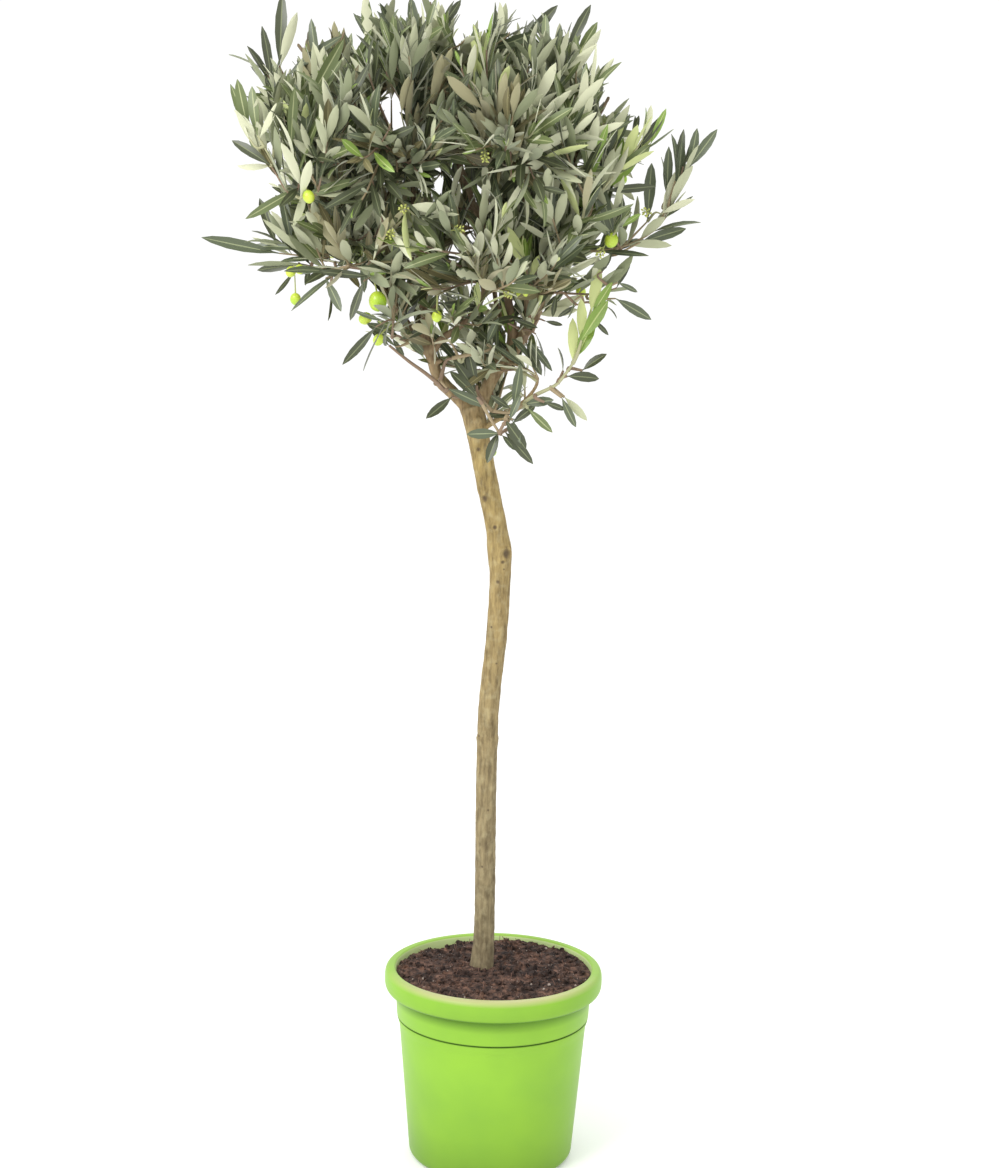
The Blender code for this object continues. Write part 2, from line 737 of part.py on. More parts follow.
    def solid(self, material):
        """All of the mass as one closed mesh."""
        pieces = bpy.data.collections.new(self.name + "_pieces")
        bpy.context.scene.collection.children.link(pieces)
        for shoot, _, _, _ in self.shoots:
            bm = bmesh.new()
            tube(bm, shoot.path, shoot.radii, TWIG_SIDES)
            new_object("shoot", bm, collection=pieces)
        for points in self.leaves:
            bm = bmesh.new()
            hull(bm, points)
            new_object("leaf", bm, collection=pieces)
        for node, middle, placed_shape in self.olives:
            bm = bmesh.new()
            tube(bm, [node, middle], [STALK_RADIUS, STALK_RADIUS], TWIG_SIDES)
            new_object("stalk", bm, collection=pieces)
            new_object("olive", olive_mesh(placed_shape), collection=pieces)
        whole = self.stem.solid(self.name, material=material)
        bake_boolean(whole, "UNION", collection=pieces, solver="MANIFOLD")
        for piece in list(pieces.objects):
            bpy.data.objects.remove(piece)
        bpy.data.collections.remove(pieces)
        keep_largest_shell(whole)
        return whole


def mass_stem(bough, middle):
    """A mass's stem, from just past its bough's tip to a little past its middle."""
    tip, along, radius = bough.at(1.0)
    start = tip + along * CLEARANCE
    end = middle + (middle - start) * STEM_PAST_MIDDLE
    pull = (end - start).length / 3
    out = (end - start).normalized()
    path = interpolate_bezier(start, start + along * pull, end - out * pull, end, STEM_RINGS)
    thick = min(radius, STEM_RADIUS)
    radii = [thick + (STEM_TIP_RADIUS - thick) * n / (STEM_RINGS - 1) for n in range(STEM_RINGS)]
    return Limb("stem", path, radii, STEM_SIDES)


def fork_stem(trunk):
    """The short stem of the low shoots, from just under the fork."""
    start, _, _ = trunk.at(FORK_STEM_START)
    rise = FORK_STEM_END - UP * FORK_STEM_RISE
    path = interpolate_bezier(start, (start + rise) / 2, rise, FORK_STEM_END, STEM_RINGS)
    return Limb("stem", path, [STEM_TIP_RADIUS] * STEM_RINGS, STEM_SIDES)


def make_limbs(limbs, material):
    """The solids of the stem and the boughs, each cut clear of those before it."""
    done = []
    for limb in limbs.values():
        floor = SOIL_LEVEL + CLEARANCE if limb.name == "trunk" else None
        obj = limb.solid(limb.name, material=material, floor=floor)
        cut_clear(obj, done)
        keep_largest_shell(obj)
        done.append(limb)


def start_masses(limbs):
    """The masses of foliage, with their stems but no shoots. The last one is that of the fork."""
    bm = bmesh.new()
    for limb in limbs.values():
        tube(bm, limb.path, [radius + LIMB_ROOM for radius in limb.radii], limb.sides)
    limb_tree = BVHTree.FromBMesh(bm)
    bm.free()
    middles = [head_point(mass.azimuth, mass.height, mass.share) for mass in MASSES]
    middles.append(FORK_MIDDLE)
    masses = []
    for mass, middle in zip(MASSES, middles):
        bough = limbs[mass.bough]
        masses.append(Foliage(mass.name, middle, middles, bough, mass_stem(bough, middle), limb_tree))
    trunk = limbs["trunk"]
    stem = fork_stem(trunk)
    masses.append(Foliage(FORK_SHOOTS, FORK_MIDDLE, middles, trunk, stem, limb_tree, FORK_LEAF_SCALE))
    return masses


def add_shoots(masses):
    """Long shoots first, then those spread evenly over the head, then the fork's and the fruit."""
    def nearest(point):
        return min(masses, key=lambda mass: (point - mass.middle).length)

    draw = random.Random(SEED)
    fork = masses[-1]
    for tip in LONG_SHOOTS:
        tip = Vector(tip)
        nearest(tip).add_shoot(tip, long=True)
    for n in range(SHOOT_COUNT):
        direction = golden_direction(n, SHOOT_COUNT)
        depth = 1 - (1 - INNERMOST_TIP) * draw.random() ** 2
        if direction.z < LOWEST_DIRECTION:
            continue
        tip = HEAD_MIDDLE + direction * head_reach(direction) * depth
        if nearest(tip) is not fork:
            nearest(tip).add_shoot(tip)
    for tip in FORK_TIPS:
        fork.add_shoot(Vector(tip), long=True)
    for spot in OLIVE_SPOTS:
        spot = Vector(spot)
        nearest(spot).add_olive(spot)


def make_foliage(masses, material):
    for mass in masses:
        mass.grow_leaves()
        obj = mass.solid(material)
        cut_clear(obj, [mass.parent])
        keep_largest_shell(obj)


def main():
    for obj in list(bpy.data.objects):
        bpy.data.objects.remove(obj)
    make_container(plain_material("lime_plastic", (0.36, 0.71, 0.09), 0.42))
    make_soil(plain_material("potting_soil", (0.055, 0.030, 0.020), 0.95))
    limbs = make_boughs(make_trunk())
    make_limbs(limbs, plain_material("young_olive_bark", (0.42, 0.34, 0.19), 0.85))
    masses = start_masses(limbs)
    add_shoots(masses)
    make_foliage(masses, plain_material("olive_foliage", (0.16, 0.19, 0.09), 0.60))


main()
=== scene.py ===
"""The looks of the potted olive tree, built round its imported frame.

Metres, +Z up. The origin is the centre of the container's underside, -X is the tree's left and -Y its
front. The tree is put together from the ground up: container, soil, bark, twigs, leaves and fruit.
"""

import math
import random

import bpy
import numpy as np
from mathutils import Matrix, Vector, noise
from mathutils.geometry import interpolate_bezier


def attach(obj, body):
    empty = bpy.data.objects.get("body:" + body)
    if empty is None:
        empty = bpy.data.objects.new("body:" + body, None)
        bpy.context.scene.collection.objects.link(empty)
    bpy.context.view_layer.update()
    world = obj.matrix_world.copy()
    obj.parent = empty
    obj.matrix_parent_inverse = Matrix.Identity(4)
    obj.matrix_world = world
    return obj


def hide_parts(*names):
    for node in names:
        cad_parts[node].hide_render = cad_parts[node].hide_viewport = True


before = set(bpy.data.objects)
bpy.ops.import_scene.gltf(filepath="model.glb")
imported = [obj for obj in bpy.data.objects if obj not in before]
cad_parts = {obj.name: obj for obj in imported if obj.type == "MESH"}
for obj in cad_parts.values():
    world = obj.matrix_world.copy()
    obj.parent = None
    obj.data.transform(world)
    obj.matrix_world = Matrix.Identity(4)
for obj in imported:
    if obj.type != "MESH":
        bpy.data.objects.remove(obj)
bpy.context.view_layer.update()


# ======== Studio ========
# Not part of the tree. A pale floor in a white room, lit softly by a large panel at the upper left in
# front and a weaker one at the right. The camera looks down a little from the height of the head.
CAMERA_PLACE = (-0.0014, -2.4, 1.0485)
CAMERA_PITCH = math.radians(9.51)
CAMERA_ROLL = math.radians(1.15)
CAMERA_LENS = 69.5
ROOM_LIGHT = 1.05
FLOOR_RADIUS = 9.0
PANELS = (  # place, aim, side, watts
    ((-1.9, -2.1, 2.7), (-0.05, 0.0, 0.95), 1.5, 67),
    ((2.2, -1.8, 1.5), (0.0, 0.0, 0.8), 1.4, 2),
    ((0.6, 2.4, 2.6), (-0.05, 0.0, 1.05), 1.6, 12),
)


def colour(code):
    """An sRGB hex value as a linear RGBA colour."""
    shares = [int(code[place : place + 2], 16) / 255 for place in (1, 3, 5)]
    return (*(s / 12.92 if s <= 0.04045 else ((s + 0.055) / 1.055) ** 2.4 for s in shares), 1.0)


def finish(name, **sockets):
    """A Principled material; each value is set on the shader's own socket."""
    material = bpy.data.materials.new(name)
    material.use_nodes = True
    shader = material.node_tree.nodes["Principled BSDF"]
    for socket, value in sockets.items():
        shader.inputs[socket.replace("_", " ")].default_value = value
    return material


world = bpy.data.worlds.new("white_room")
world.use_nodes = True
world.node_tree.nodes["Background"].inputs["Color"].default_value = colour("#FFFFFF")
world.node_tree.nodes["Background"].inputs["Strength"].default_value = ROOM_LIGHT
bpy.context.scene.world = world
bpy.context.scene.view_settings.view_transform = "Standard"

bpy.ops.object.select_all(action="DESELECT")
bpy.ops.mesh.primitive_circle_add(vertices=96, radius=FLOOR_RADIUS, fill_type="NGON")
floor = bpy.context.object
floor.name = "floor"
# Painted board, matt and pale: it gives a soft contact shadow and nothing else.
board = finish(
    "painted_board",
    Base_Color=colour("#FAFAFA"),
    Roughness=0.9,
    Emission_Color=colour("#FFFFFF"),
    Emission_Strength=0.10,
)
floor.data.materials.append(board)

for place, aim, side, watts in PANELS:
    bpy.ops.object.light_add(type="AREA", location=place)
    panel = bpy.context.object
    panel.data.size = side
    panel.data.energy = watts
    panel.rotation_euler = (Vector(aim) - Vector(place)).to_track_quat("-Z", "Y").to_euler()

bpy.ops.object.camera_add(location=CAMERA_PLACE)
camera = bpy.context.object
tilt = Matrix.Rotation(math.pi / 2 - CAMERA_PITCH, 4, "X") @ Matrix.Rotation(CAMERA_ROLL, 4, "Z")
camera.matrix_world = Matrix.Translation(CAMERA_PLACE) @ tilt
camera.data.lens = CAMERA_LENS
camera.data.sensor_width = 36.0
bpy.context.scene.camera = camera


# ======== Container ========
# A 7 litre nursery container, injection moulded in lime-green polypropylene: a tapered body with a
# rounded foot, a step and a groove under its collar, and a hollow rim rolled outwards and down.
POT_STEPS = 160
POT_HEIGHT = 0.2165
RIM_RADIUS = 0.1205
RIM_DROP = 0.0245
RIM_UNDERCUT = 0.0025
RIM_SQUARENESS = 2 / 3  # power of its sine and cosine: 1 is an ellipse, less is squarer
HOLLOW_HEIGHT = 0.0045  # of the hollow up inside the rim
LIP_RADIUS = 0.1085
LIP_WIDTH = 0.0045
LIP_ROUNDING = 0.003
COLLAR_TOP_RADIUS = 0.1088
COLLAR_FOOT_RADIUS = 0.1066
COLLAR_FOOT = 0.1625
EDGE_ROUNDING = 0.0007
GROOVE_RADIUS = 0.1048
GROOVE_WIDTH = 0.0013
SHOULDER_HEIGHT = 0.0120
BODY_TOP_RADIUS = 0.1034
FOOT_RADIUS = 0.0912
FOOT_ROUNDING = 0.009
WALL = 0.0025
BASE_RECESS = 0.0012
BASE_RING = 0.009
DRAIN_COUNT = 8
DRAIN_CIRCLE = 0.060
DRAIN_RADIUS = 0.0045
CORNER = 0.001  # width or height of a moulded corner that isn't round
SHOULDER_ENDS = ((-0.0002, -0.003), (0.0004, 0.002))  # from the top of the body
HOLLOW_CORNERS = (0.0008, 0.0012)  # at the collar's side of the hollow and at the rim's
GROOVE_STEP = 0.0004  # how far the body under the groove lies in from the collar
INNER_WALL_DRAFT = 0.0006
INNER_WALL_DEPTH = 0.0085
MERGED = 0.00005  # points nearer than this become one


def arc(middle, reach, drop, first, last, steps, squareness=1.0):
    """Points along an ellipse's arc as (radius, height), squarer where squareness is under 1."""
    found = []
    for step in range(steps + 1):
        angle = math.radians(first + (last - first) * step / steps)
        across, rise = math.cos(angle), math.sin(angle)
        across = math.copysign(abs(across) ** squareness, across)
        rise = math.copysign(abs(rise) ** squareness, rise)
        found.append((middle[0] + reach * across, middle[1] + drop * rise))
    return found


def start_mesh():
    """Leaves nothing selected, so that the next operators act on the new piece alone."""
    bpy.ops.object.select_all(action="DESELECT")


def turned(name, profile, steps):
    """A closed turned piece: a point drawn out along the profile (radius, height), then spun about Z."""
    start_mesh()
    bpy.ops.mesh.primitive_plane_add(size=WALL)
    piece = bpy.context.object
    piece.name = name
    bpy.ops.object.mode_set(mode="EDIT")
    bpy.ops.mesh.select_mode(type="VERT")
    bpy.ops.mesh.select_all(action="SELECT")
    bpy.ops.mesh.merge(type="CENTER")
    bpy.ops.transform.translate(value=(profile[0][0], 0, profile[0][1]))
    for before, here in zip(profile, profile[1:]):
        step = (here[0] - before[0], 0, here[1] - before[1])
        bpy.ops.mesh.extrude_vertices_move(TRANSFORM_OT_translate={"value": step})
    bpy.ops.mesh.select_all(action="SELECT")
    bpy.ops.mesh.spin(steps=steps, angle=math.tau, center=(0, 0, 0), axis=(0, 0, 1))
    bpy.ops.mesh.select_all(action="SELECT")
    bpy.ops.mesh.remove_doubles(threshold=MERGED)
    bpy.ops.mesh.normals_make_consistent(inside=False)
    bpy.ops.object.mode_set(mode="OBJECT")
    return piece


def smooth(piece, degrees):
    """Smooth shading, broken at edges sharper than the angle."""
    start_mesh()
    piece.select_set(True)
    bpy.context.view_layer.objects.active = piece
    bpy.ops.object.shade_smooth_by_angle(angle=math.radians(degrees))


skirt = POT_HEIGHT - RIM_DROP
shoulder = COLLAR_FOOT - SHOULDER_HEIGHT
groove_low = COLLAR_FOOT - GROOVE_WIDTH
rim_middle = (LIP_RADIUS + LIP_WIDTH, POT_HEIGHT - RIM_DROP / 2)
rim_reach = RIM_RADIUS - rim_middle[0]
hollow_top = skirt + RIM_UNDERCUT + HOLLOW_HEIGHT
ring_radius = FOOT_RADIUS - FOOT_ROUNDING - BASE_RING
profile = [(0, BASE_RECESS), (ring_radius, BASE_RECESS), (ring_radius + CORNER, 0)]
profile += arc((FOOT_RADIUS - FOOT_ROUNDING, FOOT_ROUNDING), FOOT_ROUNDING, FOOT_ROUNDING, -90, 0, 10)
profile += [(BODY_TOP_RADIUS + out, shoulder + up) for out, up in SHOULDER_ENDS]
body_edge = (COLLAR_FOOT_RADIUS - GROOVE_STEP - EDGE_ROUNDING, groove_low - EDGE_ROUNDING)
profile += arc(body_edge, EDGE_ROUNDING, EDGE_ROUNDING, 0, 90, 3)
profile += [(GROOVE_RADIUS, groove_low), (GROOVE_RADIUS, COLLAR_FOOT)]
collar_edge = (COLLAR_FOOT_RADIUS - EDGE_ROUNDING, COLLAR_FOOT + EDGE_ROUNDING)
profile += arc(collar_edge, EDGE_ROUNDING, EDGE_ROUNDING, -90, 0, 3)
profile += [(COLLAR_TOP_RADIUS, hollow_top - CORNER), (COLLAR_TOP_RADIUS + HOLLOW_CORNERS[0], hollow_top)]
profile += [(rim_middle[0] - HOLLOW_CORNERS[1], hollow_top), (rim_middle[0], hollow_top - CORNER)]
profile += [(rim_middle[0], skirt + CORNER)]
profile += arc(rim_middle, rim_reach, RIM_DROP / 2, -80, 90, 30, RIM_SQUARENESS)
lip_middle = (LIP_RADIUS + LIP_ROUNDING, POT_HEIGHT - LIP_ROUNDING)
profile += arc(lip_middle, LIP_ROUNDING, LIP_ROUNDING, 95, 180, 6)
profile += [(LIP_RADIUS - INNER_WALL_DRAFT, POT_HEIGHT - INNER_WALL_DEPTH)]
profile += [(GROOVE_RADIUS - WALL, COLLAR_FOOT), (BODY_TOP_RADIUS - WALL, shoulder)]
profile += [(FOOT_RADIUS - WALL, FOOT_ROUNDING + WALL), (FOOT_RADIUS - FOOT_ROUNDING, WALL), (0, WALL)]
container = turned("container_shell", profile, POT_STEPS)

start_mesh()
for number in range(DRAIN_COUNT):
    angle = math.tau * number / DRAIN_COUNT
    place = (DRAIN_CIRCLE * math.cos(angle), DRAIN_CIRCLE * math.sin(angle), 0)
    bpy.ops.mesh.primitive_cylinder_add(vertices=24, radius=DRAIN_RADIUS, depth=4 * WALL, location=place)
    drill = bpy.context.object
    cut = container.modifiers.new("drain", "BOOLEAN")
    cut.operation = "DIFFERENCE"
    cut.object = drill
    bpy.context.view_layer.objects.active = container
    bpy.ops.object.modifier_apply(modifier=cut.name)
    bpy.data.objects.remove(drill)
smooth(container, 32)


def add_node(material, kind, inputs=(), **settings):
    """Adds a node. Each of the inputs is (name, value), and a value that is a socket is linked."""
    node = material.node_tree.nodes.new(kind)
    for name, value in settings.items():
        setattr(node, name, value)
    for name, value in inputs:
        if isinstance(value, bpy.types.NodeSocket):
            material.node_tree.links.new(value, node.inputs[name])
        else:
            node.inputs[name].default_value = value
    return node


def clouds(material, where, scale, detail, roughness=0.5):
    """Soft noise from 0 to 1, so many clouds to the metre."""
    inputs = [("Vector", where), ("Scale", scale), ("Detail", detail), ("Roughness", roughness)]
    return add_node(material, "ShaderNodeTexNoise", inputs).outputs["Fac"]


def ramp(material, value, stops):
    """The value as a colour. Each stop is (value, sRGB hex value)."""
    node = add_node(material, "ShaderNodeValToRGB", [("Fac", value)])
    for end, (position, code) in ((0, stops[0]), (1, stops[-1])):
        node.color_ramp.elements[end].position = position
        node.color_ramp.elements[end].color = colour(code)
    for position, code in stops[1:-1]:
        node.color_ramp.elements.new(position).color = colour(code)
    return node.outputs["Color"]


def spread(material, value, low, high, to_low=0.0, to_high=1.0):
    """The value's way from low to high, drawn out from to_low to to_high and held at both ends."""
    inputs = [("Value", value), ("From Min", low), ("From Max", high)]
    inputs += [("To Min", to_low), ("To Max", to_high)]
    return add_node(material, "ShaderNodeMapRange", inputs).outputs["Result"]


def mixed(material, share, under, over, blend="MIX"):
    """A share of one colour laid over another."""
    inputs = [(0, share), (6, under), (7, over)]  # the factor and the two colours of an RGBA mix
    return add_node(material, "ShaderNodeMix", inputs, data_type="RGBA", blend_type=blend).outputs[2]


def bumped(material, height, strength, distance):
    """The surface's normal where the height bumps it."""
    inputs = [("Height", height), ("Strength", strength), ("Distance", distance)]
    return add_node(material, "ShaderNodeBump", inputs).outputs["Normal"]


def feed(material, **sockets):
    """Links each value to the shader's own socket."""
    shader = material.node_tree.nodes["Principled BSDF"]
    for socket, value in sockets.items():
        material.node_tree.links.new(value, shader.inputs[socket.replace("_", " ")])


# Moulded polypropylene: an even lime green with a satin skin. A faint orange peel about 2 mm across
# breaks its highlights. A painted highlight lies on the top of the rim in front, painted light pales the
# inner wall under the lip, painted shade darkens the groove and the corner under the rim, and the colour
# is darker towards the foot.
plastic = finish("moulded_lime_polypropylene", Roughness=0.40, IOR=1.49, Specular_IOR_Level=0.22)
where = add_node(plastic, "ShaderNodeTexCoord").outputs["Object"]
axes = add_node(plastic, "ShaderNodeSeparateXYZ", [("Vector", where)]).outputs
patches = clouds(plastic, where, 14, 3)
tint = ramp(plastic, patches, [(0.34, "#85B43B"), (0.70, "#8DBD39")])
# Height and how much of the colour is left: darker at the foot, painted shade in the groove and under the
# rim.
PAINTED_SHADE_AND_DARKER_FOOT = (
    (0.0, "#D0D0D0"),
    (0.050, "#EEEEEE"),
    (0.120, "#FFFFFF"),
    (groove_low - 0.0006, "#FFFFFF"),
    (groove_low, "#6E8468"),
    (COLLAR_FOOT + 0.0002, "#6E8468"),
    (COLLAR_FOOT + 0.0009, "#FFFFFF"),
    (skirt - 0.0150, "#FFFFFF"),
    (skirt - 0.0030, "#B4C2AC"),
    (skirt + 0.0004, "#84A078"),
    (skirt + 0.0030, "#F4F4F4"),
    (POT_HEIGHT, "#FFFFFF"),
)
level = spread(plastic, axes["Z"], 0.0, POT_HEIGHT)
painted_shade_and_darker_foot = ramp(plastic, level, [(place / POT_HEIGHT, code) for place, code in PAINTED_SHADE_AND_DARKER_FOOT])
coat = mixed(plastic, 1.0, tint, painted_shade_and_darker_foot, "MULTIPLY")
# A painted highlight on the top of the rim in front; painted light on the thin inner wall, standing in
# for light let through it.
painted_highlight_in_front = spread(plastic, axes["Y"], -0.10, -0.02, 0.85, 0.10)
painted_highlight = spread(plastic, axes["Z"], POT_HEIGHT - 0.0060, POT_HEIGHT - 0.0005, to_high=painted_highlight_in_front)
coat = mixed(plastic, painted_highlight, coat, colour("#BDB987"))
# Painted light: the inner wall under the lip is paled, as if lit through the plastic.
flat = add_node(plastic, "ShaderNodeVectorMath", [(0, where), (1, (1, 1, 0))], operation="MULTIPLY")
radial = add_node(plastic, "ShaderNodeVectorMath", [(0, flat.outputs["Vector"])], operation="LENGTH")
inner_wall_painted_light = spread(plastic, radial.outputs["Value"], LIP_RADIUS + 0.0001, LIP_RADIUS + 0.0008, 0.8, 0.0)
inner = spread(plastic, axes["Z"], POT_HEIGHT - 0.014, POT_HEIGHT - 0.013, to_high=inner_wall_painted_light)
coat = mixed(plastic, inner, coat, colour("#D3E3A6"))
dull = spread(plastic, patches, 0.0, 1.0, 0.34, 0.46)
skin = bumped(plastic, clouds(plastic, where, 520, 2), 0.08, 0.0004)
feed(plastic, Base_Color=coat, Roughness=dull, Normal=skin)
container.data.materials.append(plastic)
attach(container, "root")
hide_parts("container")


# ======== Soil ========
# Peaty potting soil, watered and settled: a crumbly surface of lumps 3 to 8 mm across with bark
# fibres, a few pale pebbles and grit lying on it. It drops a little towards the wall.
SOIL_LEVEL = 0.2145
SOIL_EDGE_DROP = 0.0025
SOIL_RADIUS = LIP_RADIUS - 0.0011
SOIL_FLAT_SHARE = 0.80
SOIL_DEPTH = 0.020
SOIL_DIP = (-0.062, 0.080)  # where the soil has sunk by the wall
SOIL_DIP_REACH = 0.040
SOIL_DIP_DEPTH = 0.0045
SOIL_GRID = 190
SOIL_SINK = 0.0022  # how far the ground between the lumps lies under the level
# The soil's own waves: height and how many to the metre.
HOLLOWS = (0.0026, 26)
LUMPS = (0.0034, 62)
CRUMBLE = (0.0012, 300)
TRUNK_FOOT = (-0.0132, 0.012)
TRUNK_CLEARANCE = 0.016
STREWN_SHARE = 0.97  # of the soil's radius
# What lies on it: how many, least and greatest size, how rare the great ones are, and the share that sinks.
CRUMBS = (900, 0.0012, 0.0090, 3.0, 0.40)
FIBRES = (230, 0.004, 0.013, 1.5, 0.48)
FIBRE_BEND, FIBRE_SWAY = 0.3, 0.5
PEBBLES = (26, 0.0018, 0.0042, 1.5, 0.3)
GRIT = (150, 0.0006, 0.0014, 1.0, 0.3)

soil_random = random.Random(5)


def soil_height(x, y):
    """The soil's surface: settled hollows, lumps and crumbs on a gentle crown."""
    share = min(1.0, math.hypot(x, y) / SOIL_RADIUS)
    fall = SOIL_EDGE_DROP * max(0.0, (share - SOIL_FLAT_SHARE) / (1 - SOIL_FLAT_SHARE)) ** 1.5
    hollows = HOLLOWS[0] * noise.noise((x * HOLLOWS[1], y * HOLLOWS[1], 3.1))
    dip_apart = math.hypot(x - SOIL_DIP[0], y - SOIL_DIP[1])
    hollows -= SOIL_DIP_DEPTH * math.exp(-((dip_apart / SOIL_DIP_REACH) ** 2))
    lumps = LUMPS[0] * abs(noise.noise((x * LUMPS[1], y * LUMPS[1], 0.4)))
    crumbs = CRUMBLE[0] * noise.fractal((x * CRUMBLE[1], y * CRUMBLE[1], 1.7), 0.8, 2.0, 3)
    return SOIL_LEVEL - fall - SOIL_SINK + hollows + lumps + crumbs


start_mesh()
bpy.ops.mesh.primitive_grid_add(x_subdivisions=SOIL_GRID, y_subdivisions=SOIL_GRID, size=2)
soil = bpy.context.object
soil.name = "soil_surface"
for vertex in soil.data.vertices:
    x, y, _ = vertex.co
    x, y = x * math.sqrt(1 - y * y / 2) * SOIL_RADIUS, y * math.sqrt(1 - x * x / 2) * SOIL_RADIUS
    vertex.co = (x, y, soil_height(x, y))
bpy.ops.object.mode_set(mode="EDIT")
bpy.ops.mesh.select_all(action="DESELECT")
bpy.ops.mesh.select_mode(type="EDGE")
bpy.ops.mesh.select_non_manifold()
bpy.ops.mesh.extrude_region_move(TRANSFORM_OT_translate={"value": (0, 0, -SOIL_DEPTH)})
bpy.ops.mesh.fill()
bpy.ops.mesh.select_all(action="SELECT")
bpy.ops.mesh.normals_make_consistent(inside=False)
bpy.ops.object.mode_set(mode="OBJECT")


def strewn(shapes, count, least, most, rarity, sink):
    """Copies of some small shapes, each with its own mesh, laid on the soil at random."""
    laid = []
    for _ in range(count):
        reach = SOIL_RADIUS * STREWN_SHARE * math.sqrt(soil_random.random())
        angle = soil_random.uniform(0, math.tau)
        x, y = reach * math.cos(angle), reach * math.sin(angle)
        size = least + (most - least) * soil_random.random() ** rarity
        if math.hypot(x - TRUNK_FOOT[0], y - TRUNK_FOOT[1]) < TRUNK_CLEARANCE:
            continue
        piece = soil_random.choice(shapes).copy()
        piece.data = piece.data.copy()
        turns = [Matrix.Rotation(soil_random.uniform(0, math.tau), 4, axis) for axis in "XYZ"]
        place = Matrix.Translation((x, y, soil_height(x, y) + size * (0.5 - sink)))
        piece.data.transform(place @ (turns[2] @ turns[1] @ turns[0]) @ Matrix.Scale(size, 4))
        bpy.context.collection.objects.link(piece)
        laid.append(piece)
    return laid


def joined(name, pieces):
    """The pieces as one object."""
    start_mesh()
    for piece in pieces:
        piece.select_set(True)
    bpy.context.view_layer.objects.active = pieces[0]
    bpy.ops.object.join()
    whole = bpy.context.object
    whole.name = name
    return whole


def lump(seed, flat, rough):
    """A small lump about one unit long, its surface pushed in and out."""
    start_mesh()
    bpy.ops.mesh.primitive_ico_sphere_add(subdivisions=2, radius=0.5)
    piece = bpy.context.object
    for vertex in piece.data.vertices:
        swell = 1 + rough * noise.noise(vertex.co * 3 + Vector((seed, 0, 0)))
        vertex.co = Vector((vertex.co.x, vertex.co.y * 0.8, vertex.co.z * flat)) * swell
    return piece


def fibre(seed):
    """A bent sliver of bark fibre, one unit long."""
    start_mesh()
    bpy.ops.mesh.primitive_cylinder_add(vertices=5, radius=0.03, depth=1, rotation=(0, math.pi / 2, 0))
    piece = bpy.context.object
    bpy.ops.object.transform_apply(location=True, rotation=True, scale=True)
    bpy.ops.object.mode_set(mode="EDIT")
    bpy.ops.mesh.select_all(action="SELECT")
    bpy.ops.mesh.subdivide(number_cuts=2)
    bpy.ops.object.mode_set(mode="OBJECT")
    draw = random.Random(seed)
    bend, sway = draw.uniform(-FIBRE_BEND, FIBRE_BEND), draw.uniform(-FIBRE_SWAY, FIBRE_SWAY)
    for vertex in piece.data.vertices:
        x = vertex.co.x
        vertex.co.y += sway * (x * x - 0.25)
        vertex.co.z += bend * (x * x - 0.25) * 0.5
    return piece


crumb_shapes = [lump(seed, 0.8, 0.9) for seed in range(5)]
fibre_shapes = [fibre(seed) for seed in range(5)]
pebble_shapes = [lump(seed + 20, 0.7, 0.25) for seed in range(3)]
crumbs = strewn(crumb_shapes, *CRUMBS)
fibres = strewn(fibre_shapes, *FIBRES)
pebbles = strewn(pebble_shapes, *PEBBLES)
grit = strewn(pebble_shapes, *GRIT)

# Wet peat: nearly black-brown and matt, browner where it dries on top, flecked with paler fibre.
peat = finish("settled_peat", Roughness=0.95)
where = add_node(peat, "ShaderNodeTexCoord").outputs["Object"]
flecks = clouds(peat, where, 170, 5)
earth = ramp(peat, flecks, [(0.32, "#241711"), (0.50, "#524037"), (0.68, "#846858")])
# It dries unevenly: damp patches and reddish dry ones, 2 to 4 cm across.
drying = ramp(peat, clouds(peat, where, 34, 2), [(0.38, "#A39B98"), (0.62, "#FFF2EB")])
dried = mixed(peat, 1.0, earth, drying, "MULTIPLY")
crumble = bumped(peat, clouds(peat, where, 900, 3), 0.8, 0.0008)
feed(peat, Base_Color=dried, Normal=crumble)
# Shredded bark fibre: reddish brown and dry. Grit and pebbles: washed river stone, grey to buff.
bark_fibre = finish("shredded_bark_fibre", Base_Color=colour("#785A4D"), Roughness=0.9)
stone = finish("river_grit", Base_Color=colour("#A3958A"), Roughness=0.7)
for made in (*crumbs, soil):
    made.data.materials.clear()
    made.data.materials.append(peat)
for made in fibres:
    made.data.materials.append(bark_fibre)
for made in (*pebbles, *grit):
    made.data.materials.append(stone)
for shape in (*crumb_shapes, *fibre_shapes, *pebble_shapes):
    bpy.data.objects.remove(shape)
soil = joined("soil_surface", [soil, *crumbs, *fibres, *pebbles, *grit])
smooth(soil, 60)
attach(soil, "root")
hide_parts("soil")


# ======== Bark ========
# The living wood down to the stem of each mass: one skin over trunk, boughs and stems, so that the
# forks flow into each other. Young olive bark is thin, finely streaked and marked by rings and knots.
UP = Vector((0, 0, 1))
TRUNK_RADIUS = 0.0116
FORK_SWELL, FORK_SWELL_LENGTH = 0.0014, 0.03
FLARE = 0.0020
FLARE_HEIGHT = 0.018
KNOTS = ((0.474, 0.0006, 0.007), (0.683, 0.0019, 0.016), (0.752, 0.0006, 0.006))  # height, swell, spread
TRUNK_RINGS = 150
BEND_STEPS = 12  # from one given point of a curve to the next
TRUNK_BENDS = (
    (*TRUNK_FOOT, SOIL_LEVEL - 0.004),
    (-0.0110, 0.012, 0.270),
    (-0.0120, 0.009, 0.400),
    (-0.0110, 0.006, 0.505),
    (-0.0040, 0.004, 0.590),
    (-0.0015, 0.002, 0.660),
    (-0.0060, 0.001, 0.705),
    (-0.0170, 0.000, 0.755),
    (-0.0290, 0.000, 0.812),
    (-0.0360, 0.000, 0.838),
)
